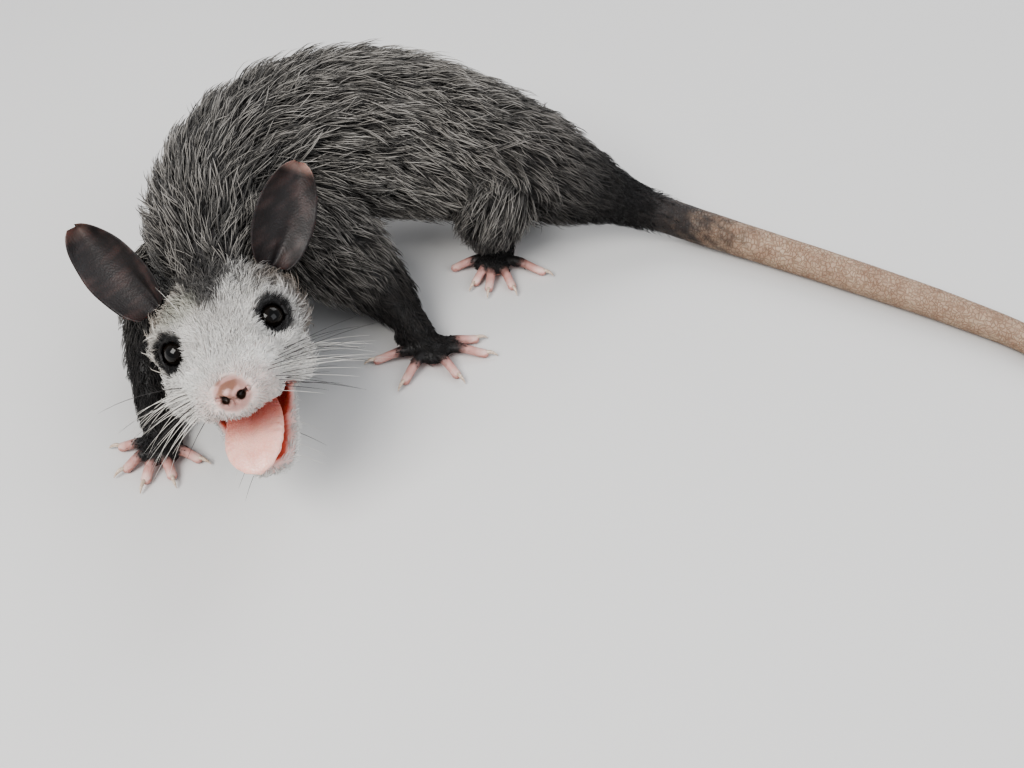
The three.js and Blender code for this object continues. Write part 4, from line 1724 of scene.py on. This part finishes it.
GUARD = HairKind(
    on_face=False,
    per_mm2=0.62,
    long=1.12,
    wide=0.52,
    lift=0.6,
    clump=0.55,
    clump_size=5.0,
    rings=5,
    tip_share=1.05,
    tip_strength=1.0,
    dark_share=0.42,
)
WOOL = HairKind(
    on_face=False,
    per_mm2=0.3,
    long=0.62,
    wide=1.0,
    lift=0.75,
    clump=0.3,
    clump_size=4.0,
    rings=4,
    tip_share=0.4,
    tip_strength=0.55,
    dark_share=0.5,
)
FACE = HairKind(
    on_face=True,
    per_mm2=3.2,
    long=1.2,
    wide=0.56,
    lift=0.55,
    clump=0.3,
    clump_size=2.6,
    rings=4,
    tip_share=1.0,
    tip_strength=1.0,
    dark_share=0.0,
)


def coat_lie(places: Places) -> Array:
    """The way that hair lies: along each length, and back and outwards from the nose on the head."""
    local = HEAD.into(places.points)
    outward = 0.35 * np.sign(local[:, 0]) * step(2.0, 12.0, np.abs(local[:, 0]))
    upward = 0.12 * np.sign(local[:, 2] + 6)
    back = np.stack([outward, np.full(len(local), -1.0), upward], axis=1)
    on_head = places.among(Region.HEAD, Region.JAW)
    lie = np.where(on_head[:, None], back @ HEAD.axes, places.lie())
    return unit(lie + np.array([0.0, 0.0, -0.25]) * places.among(Region.BODY)[:, None])


@dataclass
class Coat:
    """Locks of hair as thin three-sided curved cones that lie along the body.

    Attributes:
        skin: the skin that the hair grows on.
        rng: the random draws.
        most: triangles in a piece.
        root_depth: the most that a root lies under the skin, in millimetres.
        least_height: the least height of a lock over the floor, in millimetres.
    """

    skin: Skin
    rng: np.random.Generator
    most: int = 190_000
    quick_share: float = 0.45
    root_depth: float = 0.4
    least_height: float = 0.35

    def scatter(self, density: Array) -> tuple[Array, Array]:
        """Random roots on the skin.

        Args:
            density: locks to the square millimetre, for each triangle.

        Returns:
            Roots, and the normal of each one's triangle.
        """
        a, b, c = (self.skin.points[self.skin.triangles[:, k]] for k in range(3))
        cross = np.cross(b - a, c - a)
        area = np.linalg.norm(cross, axis=1) / 2
        expected = area * density
        number = np.floor(expected + self.rng.random(len(expected))).astype(int)
        which = np.repeat(np.arange(len(area)), number)
        u, v = self.rng.random(len(which)), self.rng.random(len(which))
        over = u + v > 1
        u[over], v[over] = 1 - u[over], 1 - v[over]
        root = a[which] + u[:, None] * (b - a)[which] + v[:, None] * (c - a)[which]
        return root, unit(cross[which])

    def normals(self, roots: Array, rough: Array) -> Array:
        """Smooth normals: the slope of the coarse field over a few millimetres."""
        smooth = self.skin.whole.slope(roots, 2.5)
        return unit(smooth + 0.4 * rough)

    def clumps(self, roots: Array, size: float) -> tuple[Array, int]:
        """The number of each root's clump, by the cells of a bent grid, and how many there are."""
        cell = np.floor((roots + 2.0 * np.sin(roots[:, [1, 2, 0]] * 0.7)) / size).astype(int)
        key = (cell[:, 0] * 73856093) ^ (cell[:, 1] * 19349663) ^ (cell[:, 2] * 83492791)
        _, group = np.unique(key, return_inverse=True)
        return group, group.max() + 1

    def locks(self, roots: Array, normals: Array, lie: Array, length: Array, kind: HairKind) -> Array:
        """The middle lines of locks.

        Each lock leaves the skin at its lift and lies down along the coat as it grows: the angle
        falls as (1 - s) to the power 1.3, where s is the share of its length. Locks near each other
        are drawn to a common line towards their tips.

        Args:
            roots: where each lock grows.
            normals: the way out of the skin.
            lie: the way that the coat lies.
            length: each lock's length.
            kind: the kind of hair.

        Returns:
            Points by lock and section.
        """
        count, rings = len(roots), kind.rings
        flow = unit(lie - dot(lie, normals)[:, None] * normals)
        group, groups = self.clumps(roots, kind.clump_size)
        turn = self.rng.normal(0, 0.28, groups)[group] + self.rng.normal(0, 0.16, count)
        side = np.cross(normals, flow)
        flow = flow * np.cos(turn)[:, None] + side * np.sin(turn)[:, None]
        lift = kind.lift * (1 + self.rng.normal(0, 0.25, groups)[group] + self.rng.normal(0, 0.2, count))
        bend = self.rng.normal(0, 0.35, count)
        share = np.linspace(0, 1, rings)
        line = np.zeros((count, rings, 3))
        line[:, 0] = roots - normals * np.minimum(self.root_depth, 0.06 * length)[:, None]
        for k in range(1, rings):
            middle = (share[k] + share[k - 1]) / 2
            angle = lift * (1 - middle) ** 1.3 + 0.06
            sway = bend * middle
            ahead = flow * np.cos(sway)[:, None] + side * np.sin(sway)[:, None]
            way = ahead * np.cos(angle)[:, None] + normals * np.sin(angle)[:, None]
            way[:, 2] -= 0.22 * middle
            line[:, k] = line[:, k - 1] + unit(way) * (length * (share[k] - share[k - 1]))[:, None]
        members = np.bincount(group, minlength=groups)[:, None, None]
        centre = np.zeros((groups, rings, 3))
        np.add.at(centre, group, line)
        centre /= members
        pull = kind.clump * share**1.4
        line = line * (1 - pull[None, :, None]) + centre[group] * pull[None, :, None]
        line[:, 1:, 2] = np.maximum(line[:, 1:, 2], self.least_height)
        return line

    def mesh(
        self,
        name: str,
        line: Array,
        width: Array,
        root_colour: Array,
        tip_colour: Array,
        place: Array,
        finish: bpy.types.Material,
    ) -> bpy.types.Object:
        """Puts locks into one piece.

        A section's three corners stand round the middle line at a third of a turn. Their half width
        shrinks as the share left to the tip, to the power 0.45.

        Args:
            name: the piece's name.
            line: points by lock and section.
            width: each lock's width at the root.
            root_colour: each lock's colour at the root.
            tip_colour: each lock's colour at the tip.
            place: each root's place on the unwrap.
            finish: the material.

        Returns:
            The object.
        """
        count, rings = line.shape[:2]
        sections = rings - 1
        tangent = unit(np.gradient(line, axis=1))
        across = unit(np.cross(tangent, np.array([0.31, 0.22, 0.92])))
        above = np.cross(across, tangent)
        share = np.linspace(0, 1, rings)
        half = 0.5 * width[:, None] * (1 - share[:-1]) ** 0.45 * np.array([0.8] + [1.0] * (sections - 1))
        angle = np.array([0.5, 0.5 + 2 / 3, 0.5 + 4 / 3]) * np.pi
        ring = (
            line[:, :-1, None]
            + (half[..., None] * np.cos(angle))[..., None] * across[:, :-1, None]
            + (half[..., None] * np.sin(angle) * 0.7)[..., None] * above[:, :-1, None]
        )
        points = np.concatenate([ring.reshape(count, -1, 3), line[:, -1:]], axis=1).reshape(-1, 3)
        each = sections * 3 + 1
        quads, _ = ring_faces(sections, 3)
        top = (sections - 1) * 3
        caps = np.array([[0, 1, 2]] + [[top + k, each - 1, top + (k + 1) % 3] for k in range(3)])
        start = (np.arange(count) * each)[:, None, None]
        all_quads = (quads[None] + start).reshape(-1, 4)
        all_caps = (caps[None] + start).reshape(-1, 3)
        piece = put_mesh(name, points, [all_quads, all_caps])
        height = np.concatenate([np.repeat(share[:-1], 3), [1.0]])
        fade = height[None, :, None] ** 0.8
        colours = root_colour[:, None] * (1 - fade) + tip_colour[:, None] * fade
        paint(piece, "tint", colours.reshape(-1, 3))
        turn = np.concatenate([np.tile([0.0, 0.5, 1.0], sections), [0.5]])
        patch = np.stack([turn, height], axis=1) * 0.003
        uv = (place[:, None] + patch[None]).reshape(-1, 2)
        layer = piece.data.uv_layers.new(name="OFBake")
        corners = np.concatenate([all_quads.ravel(), all_caps.ravel()])
        layer.data.foreach_set("uv", uv[corners].astype(np.float32).ravel())
        piece.data.materials.append(finish)
        return piece

    def grow(self, name: str, kind: HairKind, finish: bpy.types.Material) -> list[bpy.types.Object]:
        """Grows one kind of hair over the skin, in pieces under a number of triangles.

        Args:
            name: the start of the pieces' names.
            kind: the kind of hair.
            finish: the material.

        Returns:
            The pieces.
        """
        look, triangles = self.skin.look, self.skin.triangles
        corner = {key: getattr(look, key)[triangles].mean(axis=1) for key in ("bare", "kept", "length")}
        density = kind.density(corner["kept"], corner["length"]) * (1 - corner["bare"]) ** 2
        roots, rough = self.scatter(density)
        order = np.argsort(roots[:, 0] + 0.3 * roots[:, 1], kind="stable")
        roots, rough = roots[order], rough[order]
        normals = self.normals(roots, rough)
        places = self.skin.anatomy.place(roots)
        mine = markings(places)
        length, width = kind.sizes(mine, self.rng)
        line = self.locks(roots, normals, coat_lie(places), length, kind)
        tip = kind.tips(mine, HEAD.into(roots), self.rng)
        unwrap = places.unwrap()
        each = (kind.rings - 2) * 6 + 4
        parts = max(1, math.ceil(len(roots) * each / self.most))
        pieces = []
        for number, some in enumerate(np.array_split(np.arange(len(roots)), parts)):
            colours = (mine.root[some], tip[some])
            label = f"{name}_{number + 1}"
            pieces.append(self.mesh(label, line[some], width[some], *colours, unwrap[some], finish))
        log.info("%s: %d locks in %d pieces", name, len(roots), parts)
        return pieces


@dataclass
class Eye:
    """One eyeball with a bulge over the iris.

    Attributes:
        handed: 1 for the animal's right eye and -1 for its left.
        side: the same in a word.
        bulge: how far the bulge stands out, in millimetres.
    """

    handed: float
    side: str
    bulge: float = 0.45

    def build(self) -> bpy.types.Object:
        """The ball: a latitude and longitude grid round the gaze, pushed out over the iris."""
        eye = HEAD.out(eye_middle(self.handed))
        gaze = eye_gaze(self.handed) @ HEAD.axes
        theta = np.linspace(0, np.pi, 40)[1:-1]
        phi = np.linspace(0, 2 * np.pi, 48, endpoint=False)
        level = unit(np.cross(gaze, UP))
        over = np.cross(level, gaze)
        radius = EYE_RADIUS + self.bulge * np.exp(-((theta / 0.55) ** 2))
        circle = np.cos(phi)[None, :, None] * level + np.sin(phi)[None, :, None] * over
        way = np.cos(theta)[:, None, None] * gaze + np.sin(theta)[:, None, None] * circle
        rings = (eye + radius[:, None, None] * way).reshape(-1, 3)
        points = np.vstack([rings, eye + gaze * (EYE_RADIUS + self.bulge), eye - gaze * EYE_RADIUS])
        piece = put_mesh("eyeball_" + self.side, points, ring_faces(len(theta), len(phi)))
        off = np.concatenate([np.repeat(theta, len(phi)), [0, np.pi]])
        tint = blend(PUPIL, IRIS, step(0.28, 0.36, off))
        tint = blend(tint, EYE_EDGE, step(0.62, 0.75, off))
        paint(piece, "tint", tint)
        piece.data.materials.append(EyeFinish().material())
        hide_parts("eye_" + self.side)
        return piece


@dataclass
class Tongue:
    """The tongue over the lower jaw, hollowed along its middle."""

    rows: tuple[tuple[float, ...], ...] = (
        (0, 6, -24.5, 6.8, 2.0),
        (0.3, 13, -25.6, 8.4, 2.2),
        (0.6, 20, -27, 9.4, 2.3),
        (1.2, 27, -28.6, 9.8, 2.3),
        (1.8, 33, -30.4, 9.4, 2.2),
        (2.3, 38, -32.8, 7.8, 1.9),
        (2.6, 41.2, -35.4, 4.6, 1.4),
    )

    def build(self) -> bpy.types.Object:
        """The tongue: a tube through its sections, with a groove pressed into its upper side."""
        stations = spline(np.array(self.rows, float), np.linspace(0, len(self.rows) - 1, 40))
        points, quads, caps = tube(head_rows(stations), 32, HEAD.axes[2], 0.5)
        local = HEAD.into(points)
        middle = np.interp(local[:, 1], stations[:, 1], stations[:, 0])
        crest = np.interp(local[:, 1], stations[:, 1], stations[:, 2])
        upper = local[:, 2] > crest
        groove = 1.0 * np.exp(-(((local[:, 0] - middle) / 1.6) ** 2)) * upper
        local[:, 2] -= groove
        edge = 0.25 * np.sin(local[:, 1] * 1.9) * step(5.0, 8.0, np.abs(local[:, 0] - middle))
        local[:, 2] += edge
        piece = put_mesh("tongue_flesh", HEAD.out(local), [quads, caps])
        # Redder at the root and paler to the tip: the tongue's pink, with painted sunlight on the tip
        tint = blend(TONGUE_ROOT, TONGUE_TIP_SUNLIT, step(12.0, 32.0, local[:, 1]))
        paint(piece, "tint", tint)
        piece.data.materials.append(TongueFinish().material())
        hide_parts("tongue")
        return piece


@dataclass
class Claws:
    """The small hooked claws of hands and feet."""

    sides: int = 8

    def build(self) -> bpy.types.Object:
        """All claws as closed tubes that narrow to a hooked point."""
        parts = []
        for leg in LEGS:
            for rows in leg.claw_rows():
                fine = spline(rows, np.linspace(0, len(rows) - 1, 10))
                parts.append(tube(fine, self.sides, UP, 0.6))
        points, quads, caps = joined(parts)
        piece = put_mesh("claws", points, [quads, caps])
        paint(piece, "tint", np.tile(CLAW_HORN, (len(points), 1)))
        piece.data.materials.append(HornFinish().material())
        return piece


@dataclass
class Whiskers:
    """Long stiff hairs of the muzzle, brows, cheeks and chin."""

    rng: np.random.Generator
    sides: int = 4
    pale_share: float = 0.55

    def pad_root(self, handed: float, row: int, column: int) -> tuple[Array, Array, float]:
        """Root, direction and length of a whisker of the muzzle, longer and further back by column."""
        y = 38.5 - 3.2 * column - 0.5 * row
        z = -8.0 - 1.75 * row
        middle, half, tall = (np.interp(y, HEAD_STATIONS[:, 1], HEAD_STATIONS[:, k]) for k in (2, 3, 4))
        x = (half - 0.6) * math.sqrt(max(0.05, 1 - ((z - middle) / tall) ** 2))
        back = -0.15 - 0.12 * column + self.rng.normal(0, 0.12)
        down = -0.05 - 0.12 * row + self.rng.normal(0, 0.1)
        length = 16.0 + 4.5 * column + self.rng.normal(0, 3)
        return np.array([handed * (x - 1.0), y, z]), unit(np.array([handed, back, down])), length

    def brow_root(self, handed: float, k: int) -> tuple[Array, Array, float]:
        """Root, direction and length of a whisker over an eye."""
        place = np.array([handed * (EYE_X - 5.0 + 1.6 * k), -1.0, 8.0 - 1.5 * k])
        way = np.array([handed * (0.25 + 0.2 * k), 0.1, 0.9])
        return place, unit(way), 17.0 + self.rng.normal(0, 3)

    def cheek_root(self, handed: float, k: int) -> tuple[Array, Array, float]:
        """Root, direction and length of a whisker of the cheek."""
        place = np.array([handed * (21.0 - 0.8 * k), 2.0 - 2.2 * k, -14.0 - 1.0 * k])
        way = np.array([handed, -0.3, -0.35 + self.rng.normal(0, 0.1)])
        return place, unit(way), 26.0 + self.rng.normal(0, 4)

    def chin_root(self, handed: float, k: int) -> tuple[Array, Array, float]:
        """Root, direction and length of a whisker of the chin."""
        place = np.array([handed * (5.0 + 0.8 * k), 20.0 - 4 * k, -42.0 + 2.6 * k])
        return place, unit(np.array([handed * 0.8, 0.0, -0.7])), 13.0

    def roots(self) -> list[tuple[Array, Array, float]]:
        """Root, direction and length of each whisker, in the head's own frame."""
        found = []
        for handed in (-1.0, 1.0):
            found += [self.pad_root(handed, row, column) for row in range(5) for column in range(6)]
            found += [self.brow_root(handed, k) for k in range(3)]
            found += [self.cheek_root(handed, k) for k in range(6)]
            found += [self.chin_root(handed, k) for k in range(4)]
        return found

    def build(self) -> bpy.types.Object:
        """All whiskers as thin tubes that bend down and back and end in a point."""
        parts, tints = [], []
        for place, way, length in self.roots():
            share = np.linspace(0, 1, 9)
            droop = np.array([0.0, -0.22, -0.25]) * self.rng.uniform(0.4, 1.4)
            line = place + share[:, None] * length * way + (share**2)[:, None] * length * droop
            half = 0.12 * (1 - share) ** 0.7 + 0.02
            rows = np.hstack([HEAD.out(line), half[:, None], half[:, None]])
            rows[:, 2] = np.maximum(rows[:, 2], 0.6)
            parts.append(tube(rows, self.sides, np.array([0.2, 0.3, 0.9]), 1.0))
            colour = WHISKER_PALE if self.rng.random() < self.pale_share else WHISKER_DARK
            tints.append(np.tile(colour, (len(parts[-1][0]), 1)))
        points, quads, caps = joined(parts)
        piece = put_mesh("whiskers", points, [quads, caps])
        paint(piece, "tint", np.vstack(tints))
        piece.data.materials.append(CoatFinish("whisker_hair", 0.4).material())
        return piece


@dataclass(frozen=True)
class Lamp:
    """A square soft lamp that shines at the middle of the animal.

    Attributes:
        name: what it is.
        place: its middle, in metres.
        size: its side, in metres.
        power: in watts.
        colour: linear red, green and blue.
    """

    name: str
    place: tuple[float, float, float]
    size: float
    power: float
    colour: tuple[float, float, float]

    def hang(self) -> None:
        """Puts the lamp in the scene, turned to the middle."""
        lamp = bpy.data.lights.new(self.name, "AREA")
        lamp.size = self.size
        lamp.energy = self.power
        lamp.color = self.colour
        holder = bpy.data.objects.new(self.name, lamp)
        turn = unit(np.array(self.place))
        side = unit(np.cross(UP, turn))
        holder.matrix_world = placed(side, np.cross(turn, side), turn, self.place)
        bpy.context.scene.collection.objects.link(holder)


def placed(x: Sequence[float], y: Sequence[float], z: Sequence[float], place: Sequence[float]) -> Matrix:
    """The matrix that turns an object's axes to x, y and z and moves it to a place."""
    return Matrix([[x[k], y[k], z[k], place[k]] for k in range(3)] + [[0, 0, 0, 1]])


@dataclass
class Studio:
    """The floor, the light and the camera at the photograph's place.

    Attributes:
        camera_place: where the camera stands, in millimetres on the layout.
        camera_right: the way that is right in the picture.
        camera_down: the way that is down in it.
        camera_ahead: the way that the camera looks.
        focal_px: the focal length in pixels of the picture.
        picture_width: the picture's width in pixels.
        sensor_width: the same width on the camera's sensor, in millimetres.
        floor_half: half the floor's side, in metres.
        sky: the surround's linear colour.
        sky_strength: the surround's strength.
        lamps: the lamps.
    """

    camera_place: tuple[float, float, float] = (39.27, -159.37, 271.15)
    camera_right: tuple[float, float, float] = (0.97384, 0.22678, -0.01415)
    camera_down: tuple[float, float, float] = (0.15582, -0.71185, -0.68483)
    camera_ahead: tuple[float, float, float] = (-0.16538, 0.66471, -0.72856)
    focal_px: float = 960.03
    picture_width: float = 1024.0
    sensor_width: float = 36.0
    floor_half: float = 2.2
    sky: tuple[float, float, float] = (0.93, 0.95, 1.0)
    sky_strength: float = 0.55
    lamps: tuple[Lamp, ...] = (
        Lamp("key", (-0.45, -0.75, 1.0), 0.7, 17.0, (1.0, 0.98, 0.95)),
        Lamp("fill", (0.9, -0.3, 0.7), 0.9, 6.0, (0.95, 0.97, 1.0)),
        Lamp("back", (0.1, 1.1, 0.9), 0.9, 8.0, (1.0, 1.0, 1.0)),
    )

    def floor(self) -> bpy.types.Object:
        """A large plain floor that the animal stands on."""
        half = self.floor_half / MM
        corners = ORIGIN + half * np.array([(-1, -1, 0), (1, -1, 0), (1, 1, 0), (-1, 1, 0)])
        piece = put_mesh("floor", corners, [np.array([[0, 1, 2, 3]])])
        piece.data.materials.append(FloorFinish().material())
        return piece

    def light(self) -> None:
        """Broad soft lamps and an even surround."""
        world = bpy.data.worlds.new("surround")
        world.use_nodes = True
        surround = world.node_tree.nodes["Background"].inputs
        surround["Color"].default_value = (*self.sky, 1.0)
        surround["Strength"].default_value = self.sky_strength
        bpy.context.scene.world = world
        for lamp in self.lamps:
            lamp.hang()

    def camera(self) -> None:
        """The camera, at the photograph's place, turn and field of view."""
        lens = bpy.data.cameras.new("camera")
        lens.sensor_fit = "HORIZONTAL"
        lens.sensor_width = self.sensor_width
        lens.lens = self.focal_px / self.picture_width * self.sensor_width
        lens.clip_start = 0.005
        holder = bpy.data.objects.new("camera", lens)
        place = (np.array(self.camera_place) - ORIGIN) * MM
        up, back = -np.array(self.camera_down), -np.array(self.camera_ahead)
        holder.matrix_world = placed(self.camera_right, up, back, place)
        bpy.context.scene.collection.objects.link(holder)
        bpy.context.scene.camera = holder
        scene = bpy.context.scene
        scene.view_settings.view_transform = "AgX"
        scene.view_settings.look = "AgX - Medium High Contrast"


def main() -> None:
    """Builds the animal piece by piece and reports each one."""
    logging.basicConfig(level=logging.INFO, format="%(message)s")
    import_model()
    rng = np.random.default_rng(SEED)
    pieces: list[bpy.types.Object] = []

    anatomy = Anatomy.made()
    skin = Skin(anatomy)
    skin.build()
    hide = skin.dress()
    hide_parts(*BODY_NODES, *HEAD_NODES, *LEG_NODES, *PAW_NODES)
    pieces.append(hide)
    log.info("skin: %d triangles", len(skin.triangles))

    coat = Coat(skin, rng)
    long_hair = CoatFinish("coat_long").material()
    short_hair = CoatFinish("coat_face", 0.6).material()
    for name, kind, finish, slot in (
        ("coat_guard", GUARD, long_hair, "fur_body"),
        ("coat_wool", WOOL, long_hair, "fur_body"),
        ("coat_face", FACE, short_hair, "fur_face"),
    ):
        for piece in coat.grow(name, kind, finish):
            pieces.append(piece)

    pieces += [Eye(-1.0, "left").build(), Eye(1.0, "right").build()]
    pieces += [Tongue().build(), Claws().build(), Whiskers(rng).build()]
    for piece in pieces:
        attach(piece, "root")
        log.info("%s: %d faces", piece.name, len(piece.data.polygons))

    studio = Studio()
    studio.floor()
    studio.light()
    studio.camera()


if __name__ == "__main__":
    main()
